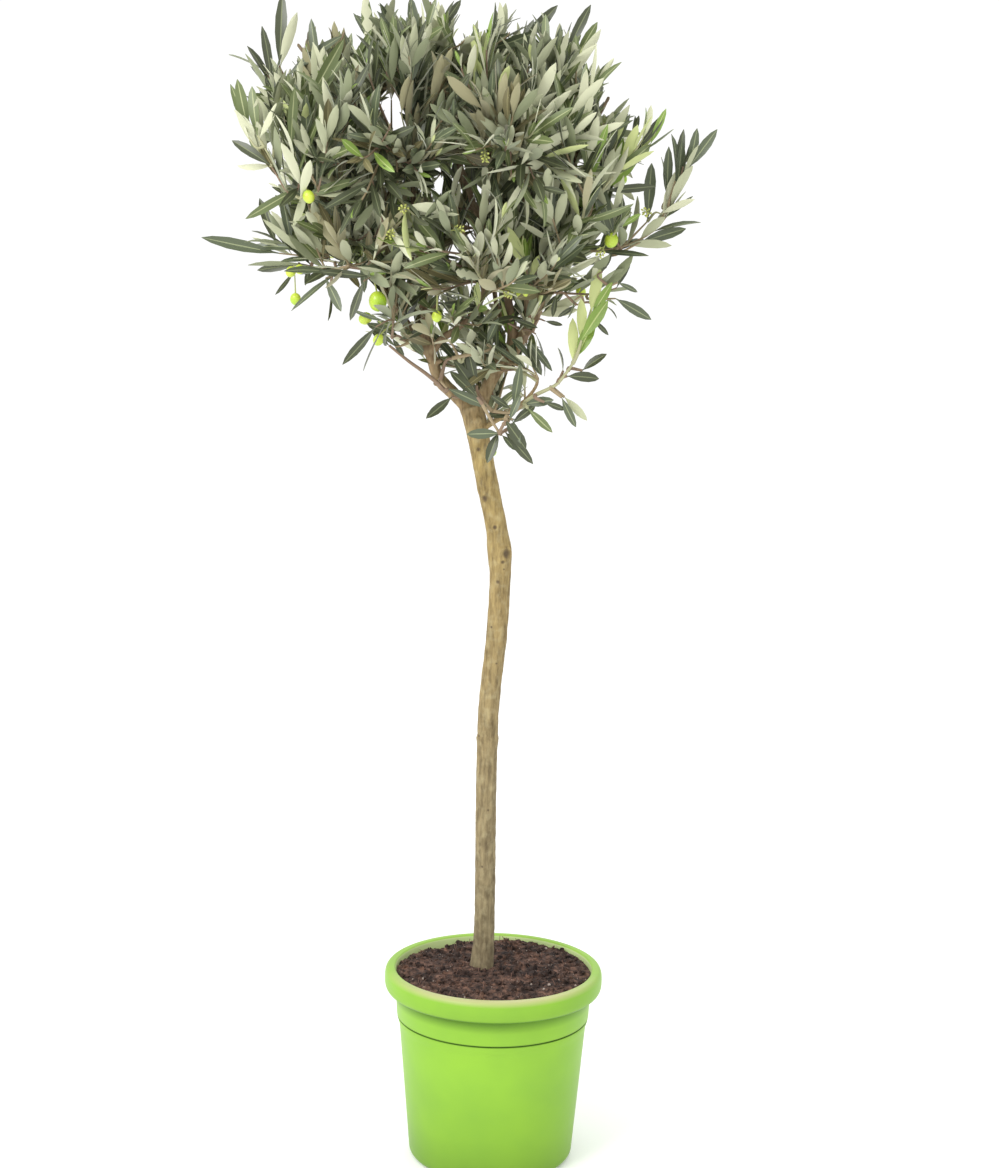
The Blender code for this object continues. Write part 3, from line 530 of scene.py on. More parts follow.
# The head's left and right edge at each height.
HEAD = (
    (0.862, -0.080, 0.030),
    (0.900, -0.120, 0.075),
    (0.940, -0.165, 0.100),
    (0.980, -0.215, 0.122),
    (1.020, -0.255, 0.142),
    (1.060, -0.280, 0.165),
    (1.110, -0.288, 0.172),
    (1.160, -0.288, 0.150),
    (1.210, -0.270, 0.115),
    (1.245, -0.225, 0.085),
    (1.266, -0.150, 0.020),
)
DEPTH_SHARE = 0.92
HEAD_MIDDLE = Vector((-0.055, 0.0, 1.060))
BOUGH_RINGS = 30
BOUGH_LEAN = 1.6  # how soon a bough turns from its parent's way to its own
BOUGH_RISE = 0.5  # how much it turns up at its tip
# Name, parent, share of the parent's length, radius at foot and tip, and where it ends in the head: its
# azimuth in degrees, its height and its share of the half-width there.
BOUGHS = (
    ("bough_left", "trunk", 0.985, 0.0072, 0.0038, 238, 1.060, 0.34),
    ("bough_right", "trunk", 0.980, 0.0078, 0.0042, 352, 1.074, 0.53),
    ("bough_left_low", "bough_left", 0.26, 0.0045, 0.0032, 186, 0.980, 0.54),
    ("bough_front_low", "bough_left", 0.30, 0.0045, 0.0030, 276, 0.946, 0.36),
    ("bough_back_left_low", "bough_left", 0.40, 0.0045, 0.0030, 128, 0.952, 0.44),
    ("bough_left_high", "bough_left", 0.60, 0.0044, 0.0032, 168, 1.112, 0.42),
    ("bough_top", "bough_right", 0.30, 0.0050, 0.0034, 90, 1.120, 0.04),
    ("bough_back_right_low", "bough_right", 0.32, 0.0047, 0.0030, 58, 0.940, 0.32),
    ("bough_right_low", "bough_right", 0.42, 0.0045, 0.0030, 342, 0.945, 0.42),
    ("bough_back_high", "bough_right", 0.43, 0.0046, 0.0032, 88, 1.082, 0.40),
    ("bough_front_right_high", "bough_right", 0.58, 0.0044, 0.0032, 298, 1.074, 0.36),
)
MAIN_BENDS = {
    "bough_left": (
        (-0.054, 0.000, 0.850),
        (-0.070, 0.000, 0.865),
        (-0.078, -0.001, 0.886),
        (-0.085, -0.004, 0.917),
    ),
    "bough_right": (
        (-0.0235, 0.000, 0.846),
        (-0.0085, 0.000, 0.879),
        (0.0030, 0.000, 0.890),
        (0.0190, 0.000, 0.915),
        (0.0365, 0.001, 0.957),
    ),
}
# Where a bough thickens to a knuckle: the share of its length, how much and over what share.
KNUCKLES = {"bough_left": (0.17, 0.0010, 0.030), "bough_right": (0.26, 0.0022, 0.035)}
# Each mass of foliage: its bough and its middle, given as a bough's tip is.
MASSES = (
    ("front_left", "bough_left", 238, 1.115, 0.62),
    ("right", "bough_right", 0, 1.130, 0.66),
    ("left_low", "bough_left_low", 190, 1.035, 0.62),
    ("front_low", "bough_front_low", 276, 0.995, 0.56),
    ("back_left_low", "bough_back_left_low", 130, 0.995, 0.56),
    ("left", "bough_left_high", 166, 1.175, 0.62),
    ("top", "bough_top", 90, 1.205, 0.04),
    ("back_right_low", "bough_back_right_low", 60, 1.025, 0.56),
    ("right_low", "bough_right_low", 334, 0.995, 0.62),
    ("back", "bough_back_high", 88, 1.130, 0.60),
    ("front_right", "bough_front_right_high", 302, 1.115, 0.58),
)
FORK_MIDDLE = Vector((0.030, -0.034, 0.838))
FORK_STEM_START = 0.955
FORK_STEM_END = Vector((0.034, -0.036, 0.872))
FORK_STEM_RISE = 0.02  # how far the fork's stem runs straight up at its end
STEM_RADII = (0.0030, 0.0018)
STEM_PAST_MIDDLE = 0.60
STEM_RINGS = 16
GNARL = 0.0022  # how far a bough wanders from a clean curve
GNARL_SEED = 4  # without a seed the wander would start from the clock
TUBE_MERGED = 0.00001  # points of a tube nearer than this become one
BARK_VOXEL = 0.00127
# Stubs of pruned shoots: limb, share of its length, direction, length, radius.
STUBS = (
    ("bough_right", 0.25, (0.6, -0.7, 0.3), 0.014, 0.0042),
    ("bough_right", 0.19, (-0.5, -0.3, 0.8), 0.034, 0.0027),
    ("bough_left", 0.17, (-0.7, -0.6, 0.2), 0.014, 0.0038),
    ("bough_left", 0.26, (0.6, -0.6, 0.5), 0.014, 0.0030),
    ("bough_left_low", 0.40, (-0.5, -0.3, -0.4), 0.012, 0.0026),
    ("trunk", 0.975, (0.25, -0.9, 0.1), 0.0155, 0.0046),
)
# Healed bud scars on the stem: height, azimuth, radius, depth of the eye.
SCARS = (
    (0.681, 306, 0.0064, 0.0018),
    (0.672, 284, 0.0028, 0.0007),
    (0.740, 236, 0.0046, 0.0012),
    (0.7096, 264, 0.0030, 0.0008),
    (0.793, 258, 0.0030, 0.0008),
    (0.650, 258, 0.0026, 0.0007),
    (0.664, 290, 0.0016, 0.0005),
    (0.600, 236, 0.0018, 0.0005),
    (0.560, 285, 0.0016, 0.0005),
    (0.478, 216, 0.0022, 0.0007),
    (0.395, 284, 0.0018, 0.0005),
    (0.330, 252, 0.0018, 0.0005),
    (0.760, 80, 0.0030, 0.0009),
    (0.620, 110, 0.0026, 0.0008),
    (0.530, 45, 0.0022, 0.0007),
    (0.420, 150, 0.0024, 0.0007),
    (0.310, 60, 0.0020, 0.0006),
)
STUB_SHARES = (0.0, 0.3, 0.6, 0.8, 0.93, 1.0)
STUB_SWELLS = (1.25, 0.95, 0.92, 1.0, 0.85, 0.45)  # its radius at each share of its length
GRAFT_RING = 0.474
# How far the bark's own marks stand out, in metres.
STREAK_RELIEF = 0.00016
BUMP_RELIEF = 0.00009
SWELL_RELIEF = 0.00045
FISSURE_DEPTH = 0.0005
FISSURE_WIDTH = 0.16
OLD_BELOW, OLD_OVER = 0.62, 0.35  # where the fissures of old bark begin, and how far down they deepen
# The graft's raised ring and the groove over it: how far up, height and width.
GRAFT_MARKS = ((0.0, 0.0005, 0.0022), (0.005, -0.0003, 0.0012))
SCAR_RING = (0.7, 0.35)  # a scar's raised ring: its height over the depth of the eye, and its width
SCAR_EYE = 0.55


class Limb:
    """A tapering limb: the points that it follows and its radius at each."""

    def __init__(self, path, radii):
        self.path, self.radii = path, radii
        self.steps = [(b - a).length for a, b in zip(path, path[1:])]
        self.length = sum(self.steps)

    def at(self, share):
        """The point, direction and radius at a share of the limb's length."""
        left = share * self.length
        for n, step in enumerate(self.steps):
            if left <= step or n == len(self.steps) - 1:
                break
            left -= step
        along = self.path[n + 1] - self.path[n]
        radius = self.radii[n] + (self.radii[n + 1] - self.radii[n]) * left / step
        return self.path[n] + along * left / step, along.normalized(), radius


def taper(first, last, count):
    """Radii at even steps from the first to the last."""
    return [first + (last - first) * n / (count - 1) for n in range(count)]


def curve_through(points, count):
    """Points at even steps along a smooth curve through the given ones."""
    points = [Vector(point) for point in points]
    first, last = 2 * points[0] - points[1], 2 * points[-1] - points[-2]
    line = []
    for a, b, c, d in zip([first, *points], points, points[1:], [*points[2:], last]):
        line += interpolate_bezier(b, b + (c - a) / 6, c - (d - b) / 6, c, BEND_STEPS)[:-1]
    line.append(points[-1])
    dense = Limb(line, [0] * len(line))
    return [dense.at(n / (count - 1))[0] for n in range(count)]


def arched(start, out, end, rise, count):
    """Points along a curve that leaves the start in one direction and comes to the end in another."""
    pull = (end - start).length / 3
    return interpolate_bezier(start, start + out * pull, end - rise * pull, end, count)


def trunk_radius(height):
    """The stem's radius, with the flare at its foot, its knots and the swell under the fork."""
    radius = TRUNK_RADIUS
    radius += FLARE * math.exp(-(height - SOIL_LEVEL) / FLARE_HEIGHT)
    radius += FORK_SWELL * math.exp((height - TRUNK_BENDS[-1][2]) / FORK_SWELL_LENGTH)
    for knot, swell, spread in KNOTS:
        radius += swell * math.exp(-(((height - knot) / spread) ** 2))
    return radius


def head_section(height, outline):
    """The outline's middle and half-width at a height."""
    for low, high in zip(outline, outline[1:]):
        if height <= high[0]:
            break
    share = (height - low[0]) / (high[0] - low[0])
    left, right = (low[n] + (high[n] - low[n]) * share for n in (1, 2))
    return (left + right) / 2, (right - left) / 2


def head_point(azimuth, height, share):
    """A point of the head, by its azimuth, its height and its share of the half-width."""
    middle, half = head_section(height, HEAD)
    angle = math.radians(azimuth)
    reach = half * share
    return Vector((middle + reach * math.cos(angle), DEPTH_SHARE * reach * math.sin(angle), height))


def knuckled(name, radii):
    """A bough's radii with its knuckle, if it has one."""
    if name not in KNUCKLES:
        return radii
    place, swell, spread = KNUCKLES[name]
    last = len(radii) - 1
    return [r + swell * math.exp(-(((n / last - place) / spread) ** 2)) for n, r in enumerate(radii)]


def gnarled(path):
    """The path with a slight wander that dies out at its two ends."""
    last = len(path) - 1
    found = []
    for n, point in enumerate(path):
        calm = math.sin(math.pi * n / last)
        found.append(point + noise.noise_vector(point * 38) * GNARL * calm)
    return found


def on_trunk(height, azimuth):
    """The place on the stem's skin at a height and an azimuth."""
    middle = min(trunk_path, key=lambda point: abs(point.z - height))
    out = Matrix.Rotation(math.radians(azimuth), 3, "Z") @ Vector((1, 0, 0))
    return Vector((middle.x, middle.y, height)) + out * trunk_radius(height)


noise.seed_set(GNARL_SEED)
trunk_path = curve_through(TRUNK_BENDS, TRUNK_RINGS)
scars = [(on_trunk(height, azimuth), reach, depth) for height, azimuth, reach, depth in SCARS]
limbs = {"trunk": Limb(trunk_path, [trunk_radius(point.z) for point in trunk_path])}
for name, parent, start_share, foot, thin, azimuth, height, share in BOUGHS:
    start, along, _ = limbs[parent].at(start_share)
    tip = head_point(azimuth, height, share)
    if name in MAIN_BENDS:
        path = curve_through([start, *MAIN_BENDS[name], tip], BOUGH_RINGS)
    else:
        straight = (tip - start).normalized()
        lean = (along + BOUGH_LEAN * straight).normalized()
        path = arched(start, lean, tip, (straight + BOUGH_RISE * UP).normalized(), BOUGH_RINGS)
    limbs[name] = Limb(gnarled(path), knuckled(name, taper(foot, thin, BOUGH_RINGS)))

stems = {}
for name, bough, azimuth, height, share in MASSES:
    start, along, radius = limbs[bough].at(1.0)
    middle = head_point(azimuth, height, share)
    end = middle + (middle - start) * STEM_PAST_MIDDLE
    path = arched(start, along, end, (end - start).normalized(), STEM_RINGS)
    stems[name] = Limb(gnarled(path), taper(min(radius, STEM_RADII[0]), STEM_RADII[1], STEM_RINGS))
start = limbs["trunk"].at(FORK_STEM_START)[0]
rise = FORK_STEM_END - UP * FORK_STEM_RISE
path = interpolate_bezier(start, start + (rise - start) / 2, rise, FORK_STEM_END, STEM_RINGS)
stems["fork"] = Limb(path, taper(*STEM_RADII, STEM_RINGS))


def drawn(name, tubes, roundness, materials=()):
    """Tubes along the limbs as one mesh. Each tube is (limb, number of its material)."""
    start_mesh()
    bpy.ops.curve.primitive_nurbs_path_add()
    piece = bpy.context.object
    piece.name = name
    line = piece.data
    line.splines.clear()
    line.bevel_depth = 1.0
    line.bevel_resolution = roundness
    line.use_fill_caps = True
    for material in materials:
        line.materials.append(material)
    for limb, number in tubes:
        spline = line.splines.new("POLY")
        spline.points.add(len(limb.path) - 1)
        spline.points.foreach_set("co", [c for point in limb.path for c in (*point, 1.0)])
        spline.points.foreach_set("radius", limb.radii)
        spline.material_index = number
    bpy.ops.object.convert(target="MESH")
    bpy.ops.object.mode_set(mode="EDIT")
    bpy.ops.mesh.select_all(action="SELECT")
    bpy.ops.mesh.remove_doubles(threshold=TUBE_MERGED)
    bpy.ops.mesh.normals_make_consistent(inside=False)
    bpy.ops.object.mode_set(mode="OBJECT")
    return piece


def stub(limb, share, direction, length, radius):
    """What is left of a pruned shoot: a short knuckle, blunt and a little swollen at its end."""
    start, _, _ = limbs[limb].at(share)
    out = Vector(direction).normalized()
    return Limb([start + out * length * s for s in STUB_SHARES], [radius * s for s in STUB_SWELLS])


wood = [*limbs.values(), *stems.values(), *(stub(*given) for given in STUBS)]
bark = drawn("bark", [(limb, 0) for limb in wood], 4)
skin = bark.modifiers.new("skin", "REMESH")
skin.mode = "VOXEL"
skin.voxel_size = BARK_VOXEL
bpy.ops.object.modifier_apply(modifier="skin")
soften = bark.modifiers.new("soften", "SMOOTH")
soften.factor = 0.5
soften.iterations = 5
bpy.ops.object.modifier_apply(modifier="soften")


def bark_relief(point):
    """How far the bark stands out at a point, in metres."""
    x, y, z = point
    old = min(1.0, max(0.0, (OLD_BELOW - z) / OLD_OVER))
    streaks = noise.noise((x * 330, y * 330, z * 30))
    fissures = abs(noise.noise((x * 210, y * 210, z * 17 + 5)))
    bumps = noise.noise(Vector(point) * 620)
    swells = noise.noise((x * 150, y * 150, z * 95 + 9))
    relief = STREAK_RELIEF * streaks + BUMP_RELIEF * bumps + SWELL_RELIEF * swells
    relief -= old * FISSURE_DEPTH * max(0.0, FISSURE_WIDTH - fissures) / FISSURE_WIDTH
    for over, rise, width in GRAFT_MARKS:
        relief += rise * math.exp(-(((z - GRAFT_RING - over) / width) ** 2))
    for place, reach, depth in scars:
        apart = (point - place).length / reach
        if apart < 2:
            ring = SCAR_RING[0] * depth * math.exp(-(((apart - 1) / SCAR_RING[1]) ** 2))
            relief += ring - depth * math.exp(-((apart / SCAR_EYE) ** 2))
    return relief


for vertex, facing in zip(bark.data.vertices, [n.vector.copy() for n in bark.data.vertex_normals]):
    vertex.co += facing * bark_relief(vertex.co)
smooth(bark, 70)

# Young olive bark: thin and matt, tan with upright mottles above, greyer and greener with age below,
# pinkish brown on the boughs. Colour follows height, streaks about 2 mm wide and the marks' places.
bark_skin = finish("young_olive_bark", Roughness=0.82)
where = add_node(bark_skin, "ShaderNodeTexCoord").outputs["Object"]
height = add_node(bark_skin, "ShaderNodeSeparateXYZ", [("Vector", where)]).outputs["Z"]
AGES = (
    (0.0, "#8B7D61"),
    (0.06, "#958765"),
    (0.25, "#9B8A63"),
    (0.45, "#A8925F"),
    (0.62, "#AE985F"),
    (0.68, "#A58E68"),
    (0.78, "#9C8468"),
    (1.0, "#8B7A62"),
)
age = ramp(bark_skin, spread(bark_skin, height, 0.20, 1.15), AGES)
mapping = add_node(bark_skin, "ShaderNodeMapping", [("Vector", where), ("Scale", (1, 1, 0.2))])
upright = mapping.outputs["Vector"]  # noise in it is drawn out five times as tall
mottle = ramp(bark_skin, clouds(bark_skin, upright, 230, 5, 0.6), [(0.27, "#7C7264"), (0.68, "#FFFFFF")])
coat = mixed(bark_skin, 0.85, age, mottle, "MULTIPLY")
lichen = spread(bark_skin, clouds(bark_skin, where, 120, 4), 0.48, 0.70, to_high=0.24)
coat = mixed(bark_skin, lichen, coat, colour("#C3B991"))
for place, reach, _ in scars:
    apart = add_node(bark_skin, "ShaderNodeVectorMath", [(0, where), (1, place)], operation="DISTANCE")
    eye = spread(bark_skin, apart.outputs["Value"], reach * 0.40, reach * 0.95, 0.8, 0.0)
    coat = mixed(bark_skin, eye, coat, colour("#45362A"))
ridges = bumped(bark_skin, clouds(bark_skin, upright, 900, 3), 0.5, 0.0005)
feed(bark_skin, Base_Color=coat, Normal=ridges)
bark.data.materials.append(bark_skin)
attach(bark, "root")
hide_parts(*limbs)


# ======== Shoots ========
# Each mass's stem bears shoots whose tips are spread evenly over the head, and each shoot bears side
# shoots. Some sprays stand out of the crowd. One-year olive wood is slim and pale grey-green.
SEED = 11
GOLDEN_ANGLE = math.pi * (3 - math.sqrt(5))
SHOOT_COUNT = 225
SHOOT_BASES = [0.05 + 0.94 * n / 33 for n in range(34)]  # where along a stem a shoot may spring from it
SHOOT_RINGS, SIDE_RINGS, LOW_RINGS = 14, 8, 10
SHOOT_STRAIN = 4  # what a metre of a shoot's length weighs against a radian of its turn from the stem
ALONG_STEM = 0.4  # how much a shoot first follows its stem
NEAR_WOOD = 0.12  # where a listed spray bends first if it starts right at the wood
SHOOT_RADII = (0.0018, 0.0008)
FORK_RADII = (0.0025, 0.0014)
SIDE_RADII = (0.0012, 0.0007)
LOWEST_DIRECTION = -0.60
INNERMOST_TIP = 0.45
LEAF_LENGTH = 0.053
BEYOND_SHOOT = 0.6  # how much of its last leaf stands out past a shoot's end
LEAF_SPREAD = 0.30
FIRST_NODE = 0.18
HIGH_TIP = 1.10  # shoots that end above this turn up the more
HIGH_RISE = (0.2, 0.8)
LOW_RISE = (-0.2, 0.5)
SIDE_SHARES = (0.28, 0.46, 0.64)
SIDE_SKIPPED = 0.15
SIDE_LENGTHS = (0.035, 0.085)
SIDE_ROOM = 0.025  # no side shoot springs nearer to its shoot's end
SIDE_SPLAY = 0.8  # how much a side shoot first runs along its shoot, and how much off it
SIDE_RISE = 0.35
SIDE_TIP_RISE = 0.25
SIDE_TIP_DROP = 0.1
FORK_LEAF_SCALE = 0.86
FORK_LEAF_BREADTH = 1.32
WOOD_SHARES = [n / 30 for n in range(31)]  # where along a limb a shoot may spring from it
TWIG_SHARES = [n / 8 for n in range(1, 9)]
LEAF_STALK = 0.004
BARE_LENGTH = 0.045  # a listed spray that is shorter bears only its last leaf
# Short shoots that spring from the boughs under the head.
LOW_SHOOTS = 26
LOW_HEIGHTS = (0.872, 0.962)
LOW_REACHES = (0.62, 0.98)  # shares of the half-width there
LOW_SHOOT_DROP = 0.02  # how far under its tip a low shoot looks for wood
LOW_SHOOT_RISE = 0.6
# The leafy outline: its left and right edge at each height. Single sprays stand out of it.
LEAFY = (
    (0.850, -0.070, 0.015),
    (0.880, -0.102, 0.032),
    (0.900, -0.122, 0.042),
    (0.940, -0.160, 0.070),
    (0.980, -0.202, 0.110),
    (1.020, -0.230, 0.122),
    (1.060, -0.248, 0.132),
    (1.110, -0.265, 0.138),
    (1.160, -0.268, 0.124),
    (1.200, -0.248, 0.095),
    (1.228, -0.205, 0.065),
    (1.248, -0.150, 0.030),
)
LEAFY_DEPTH = 1.02  # its depth over its width
# Sprays given one by one: the tone of their leaves, how far the last leaf shows its upper side (1) or its
# felt (-1) to the front, and in millimetres the shoot's bends and the last leaf's tip.
SPRAYS = (
    ("grey", 1, (-214, -60, 1125), (-230, -60, 1172), (-175, -60, 1222)),
    ("shade", 1, (-190, -50, 1170), (-170, -60, 1219), (-158, -60, 1187)),
    ("grey", 1, (-200, -80, 1110), (-197, -60, 1184), (-205, -60, 1233)),
    ("sun", 1, (-205, -100, 1110), (-202, -95, 1149), (-168, -90, 1211)),
    ("shade", 1, (-215, -115, 1055), (-238, -120, 1084), (-278, -120, 1111)),
    ("sun", 1, (-205, -125, 1055), (-217, -130, 1100), (-215, -125, 1160)),
    ("grey", 1, (-190, -120, 1060), (-212, -120, 1098), (-171, -120, 1132)),
    ("sun", -1, (-235, -115, 1085), (-249, -120, 1110), (-231, -120, 1145)),
    ("sun", -1, (-170, -120, 1105), (-169, -125, 1146), (-150, -120, 1176)),
    ("shade", 0.3, (-215, -60, 1100), (-250, -50, 1179), (-287, -40, 1201)),
    ("grey", 1, (-160, -40, 985), (-205, -50, 993), (-236, -50, 996), (-316, -50, 1009)),
    ("shade", 1, (-190, -40, 990), (-239, -50, 1005), (-257, -50, 1054)),
    ("grey", 1, (-185, -50, 995), (-223, -55, 1004), (-233, -55, 1061)),
    ("shade", 1, (-180, -60, 980), (-215, -55, 986), (-261, -50, 978)),
    ("grey", 1, (-160, -80, 985), (-184, -100, 973), (-166, -105, 940)),
    ("shade", 1, (-135, -90, 980), (-145, -110, 971), (-158, -115, 932)),
    ("sun", -1, (-140, -50, 1150), (-147, -50, 1206), (-148, -50, 1257)),
    ("grey", 1, (-125, -40, 1170), (-138, -35, 1216), (-121, -30, 1254)),
    ("grey", 1, (-90, -60, 1160), (-97, -50, 1208), (-104, -50, 1256)),
    ("sun", 1, (-85, -50, 1170), (-90, -50, 1212), (-78, -50, 1256)),
    ("shade", 1, (-80, -20, 1190), (-76, -20, 1224), (-53, -20, 1257)),
    ("sun", -1, (-98, -85, 1150), (-95, -85, 1190), (-70, -85, 1225)),
    ("grey", -1, (-30, -50, 1160), (-14, -40, 1204), (-7, -30, 1252)),
    ("shade", 1, (-10, 0, 1170), (11, 0, 1217), (47, 0, 1254)),
    ("shade", 1, (40, -30, 1160), (56, -30, 1204), (78, -30, 1255)),
    ("sun", 1, (50, -50, 1150), (65, -35, 1198), (86, -30, 1236)),
    ("sun", -1, (40, -80, 1150), (53, -65, 1184), (85, -60, 1212)),
    ("sun", -1, (55, -100, 1110), (72, -100, 1148), (85, -90, 1171), (102, -90, 1197)),
    ("sun", -1, (40, -115, 1100), (58, -110, 1138), (91, -110, 1177)),
    ("sun", -1, (10, -120, 1090), (25, -120, 1128), (58, -120, 1165)),
    ("sun", -1, (10, -110, 1110), (24, -115, 1146), (43, -115, 1190)),
    ("sun", -1, (0, -125, 1075), (19, -130, 1098), (63, -130, 1125)),
    ("sun", -1, (75, -95, 1040), (79, -110, 1090), (84, -110, 1142)),
    ("fresh", 1, (90, -60, 1060), (120, -60, 1094), (143, -60, 1114), (157, -60, 1150)),
    ("shade", 1, (80, -60, 1055), (98, -60, 1066), (150, -60, 1072)),
    ("grey", 1, (100, -20, 1005), (137, -20, 1017), (163, -20, 1040), (185, -20, 1091), (214.5, -20, 1131)),
    ("grey", 1, (110, -25, 1000), (137, -25, 1014), (186, -20, 1031)),
    ("grey", 1, (120, -20, 1010), (145, -15, 1036), (147, -15, 1100)),
    ("shade", 1, (90, -30, 960), (114, -30, 967), (129, -30, 1001)),
    ("grey", 1, (85, -30, 955), (113, -35, 956), (152, -30, 935)),
    ("grey", 1, (-13, -36, 836), (1, -38, 835), (11, -41, 837), (20, -43, 845), (51, -45, 850)),
    ("grey", 1, (10, -40, 837), (16, -50, 885)),
    ("sun", 1, (18, -44, 844), (24, -50, 841), (50, -55, 816)),
    ("shade", 1, (9, -32, 834), (-19, -40, 832)),
    ("shade", 1, (10, -42, 838), (-15, -52, 854)),
    ("fresh", -1, (22, -38, 847), (33, -40, 855), (52, -42, 865), (63, -44, 878), (70, -46, 889),
        (71, -48, 936)),
    ("grey", 1, (45, -42, 861), (59, -47, 853), (74, -52, 822)),
    ("grey", -1, (49, -37, 862), (62, -41, 853), (86, -46, 829)),
    ("shade", 1, (57, -40, 872), (64, -45, 875), (98, -50, 876)),
    ("shade", 0.4, (67, -37, 883), (80, -41, 881), (103, -46, 901)),
    ("shade", 0.4, (57, -35, 871), (60, -40, 880), (58, -44, 905)),
    ("fresh", 1, (69, -43, 887), (74, -47, 898), (78, -50, 913), (103, -54, 955)),
    ("fresh", -1, (75, -35, 900), (77, -40, 913), (80, -44, 958)),
    ("fresh", 1, (71, -40, 891), (74, -45, 895), (89, -50, 934)),
    ("fresh", -1, (77, -40, 910), (83, -43, 927), (87, -47, 942), (95, -50, 988)),
    ("fresh", 1, (84, -45, 934), (108, -56, 973)),
    ("sun", -1, (87, -37, 940), (90, -41, 954), (92, -46, 1002)),
    ("grey", 1, (16, -24, 921), (23, -27, 911), (49, -30, 879)),
    ("shade", 1, (18, -29, 917), (21, -32, 908), (37, -36, 873)),
    ("shade", 0.4, (23, -21, 921), (31, -23, 917), (51, -26, 876)),
    ("shade", 1, (1, -32, 929), (6, -36, 933), (33, -40, 924)),
    ("shade", 1, (33, -24, 932), (40, -27, 931), (59, -30, 927)),
    ("grey", 1, (-24, -48, 846), (-15, -52, 830), (-5, -56, 815), (-39, -60, 814)),
    ("shade", 1, (-6, -50, 816), (-18, -62, 785)),
    ("shade", 1, (-5, -46, 814), (0, -52, 817), (32, -58, 784)),
    ("grey", 1, (-5, -45, 814), (13, -56, 800)),
    ("grey", 1, (-68, -38, 867), (-61, -43, 860), (-19, -48, 842)),
    ("shade", 1, (-63, -37, 887), (-56, -41, 891), (-28, -46, 858)),
    ("shade", 1, (-29, -32, 856), (-30, -36, 863), (-41, -40, 903)),
    ("shade", 1, (-35, -29, 849), (-37, -32, 863), (-47, -36, 897)),
    ("shade", 0.2, (-56, -35, 850), (-82, -44, 827)),
    ("grey", 1, (-17, -45, 901), (-20, -50, 907), (-9, -56, 934)),
    ("shade", 1, (-80, -40, 941), (-72, -45, 948), (-27, -50, 943)),
    ("shade", 1, (-54, -37, 929), (-45, -41, 934), (-13, -46, 931)),
    ("grey", 1, (-106, -32, 908), (-102, -36, 906), (-86, -40, 893)),
    ("shade", 1, (-113, -35, 913), (-119, -40, 911), (-106, -44, 892)),
    ("shade", 1, (-111, -38, 909), (-78, -48, 924)),
    ("grey", 1, (-109, -40, 903), (-115, -45, 902), (-133, -50, 919)),
    ("shade", 1, (-38, -32, 914), (-30, -36, 921), (-11, -40, 948)),
    ("grey", -1, (-56, -40, 905), (-63, -45, 912), (-90, -50, 933)),
    ("sun", -1, (-46, -37, 887), (-42, -41, 900), (-30, -46, 929)),
    ("shade", 0.3, (-117, -88, 932), (-133, -99, 925), (-165, -110, 884)),
    ("sun", -1, (-214, -58, 1076), (-223, -62, 1131), (-234, -67, 1183), (-218, -72, 1239)),
    ("shade", 1, (-233, -61, 1170), (-235, -68, 1184), (-230, -76, 1257)),
    ("sun", 1, (-243, -96, 1085), (-252, -104, 1099), (-261, -112, 1118), (-272, -120, 1167)),
    ("grey", 1, (160, -16, 1050), (164, -18, 1061), (164, -20, 1113)),
    ("shade", 1, (168, -13, 1062), (174, -14, 1077), (178, -16, 1132)),
    ("grey", 1, (177, -18, 1081), (186, -20, 1091), (194, -22, 1132)),
    ("sun", -1, (152, -24, 1045), (158, -27, 1044), (192, -30, 1061)),
    ("sun", -1, (92, -48, 1097), (96, -54, 1117), (104, -60, 1146)),
    ("sun", -1, (88, -45, 1107), (92, -50, 1121), (88, -56, 1147)),
    ("sun", 1, (105, -40, 1103), (113, -45, 1120), (117, -50, 1146)),
    ("shade", 1, (118, -45, 1108), (124, -50, 1120), (131, -56, 1142)),
    ("shade", 1, (-62, -40, 856), (-70, -40, 864), (-84, -40, 875), (-100, -40, 886), (-113, -40, 896),
        (-122, -40, 903), (-141, -40, 918)),
    ("shade", 1, (109, -58, 1021), (116, -58, 1031), (117, -58, 1067)),
    ("grey", 1, (83, -62, 1042), (87, -62, 1060), (103, -62, 1020)),
    ("fresh", 1, (104, -64, 1017), (113, -64, 1029), (135, -64, 1044)),
    ("sun", 1, (100, -60, 1013), (108, -60, 1024), (125, -60, 1050)),
    ("sun", 1, (-246, -120, 1101), (-251, -120, 1113), (-259, -120, 1162)),
    ("shade", 1, (-3, -60, 821), (1, -60, 829), (24, -60, 798)),
    ("shade", 1, (84, -48, 936), (90, -48, 934), (107, -48, 919)),
    ("shade", 0.4, (94, -46, 950), (102, -46, 949), (118, -46, 940)),
    ("grey", 1, (2, -54, 833), (8, -54, 829), (18, -54, 805)),
    ("shade", 1, (32, -50, 852), (41, -50, 848), (64, -50, 840)),
    ("shade", 1, (82, -46, 952), (72, -46, 949), (53, -46, 936)),
    ("shade", 1, (57, -44, 962), (51, -44, 959), (48, -44, 936)),
    ("grey", 0.6, (77, -48, 958), (70, -48, 954), (66, -48, 934)),
    ("shade", 1, (-24, -52, 847), (-29, -52, 852), (-57, -52, 879)),
    ("grey", 1, (106, -50, 969), (114, -50, 973), (137, -50, 964)),
    ("shade", 1, (93, -50, 979), (98, -50, 984), (107, -50, 1004)),
    ("shade", 0.8, (115, -60, 1085), (129, -60, 1107), (157, -60, 1145)),
    ("sun", -0.6, (122, -64, 1097), (134, -64, 1118), (144, -64, 1152)),
    ("shade", 0.7, (115, -55, 1091), (123, -55, 1109), (130, -55, 1142)),
    ("fresh", -1, (103, -60, 1099), (109, -60, 1116), (116, -60, 1143)),
    ("sun", 0.7, (95, -68, 1067), (106, -68, 1081), (144, -68, 1114)),
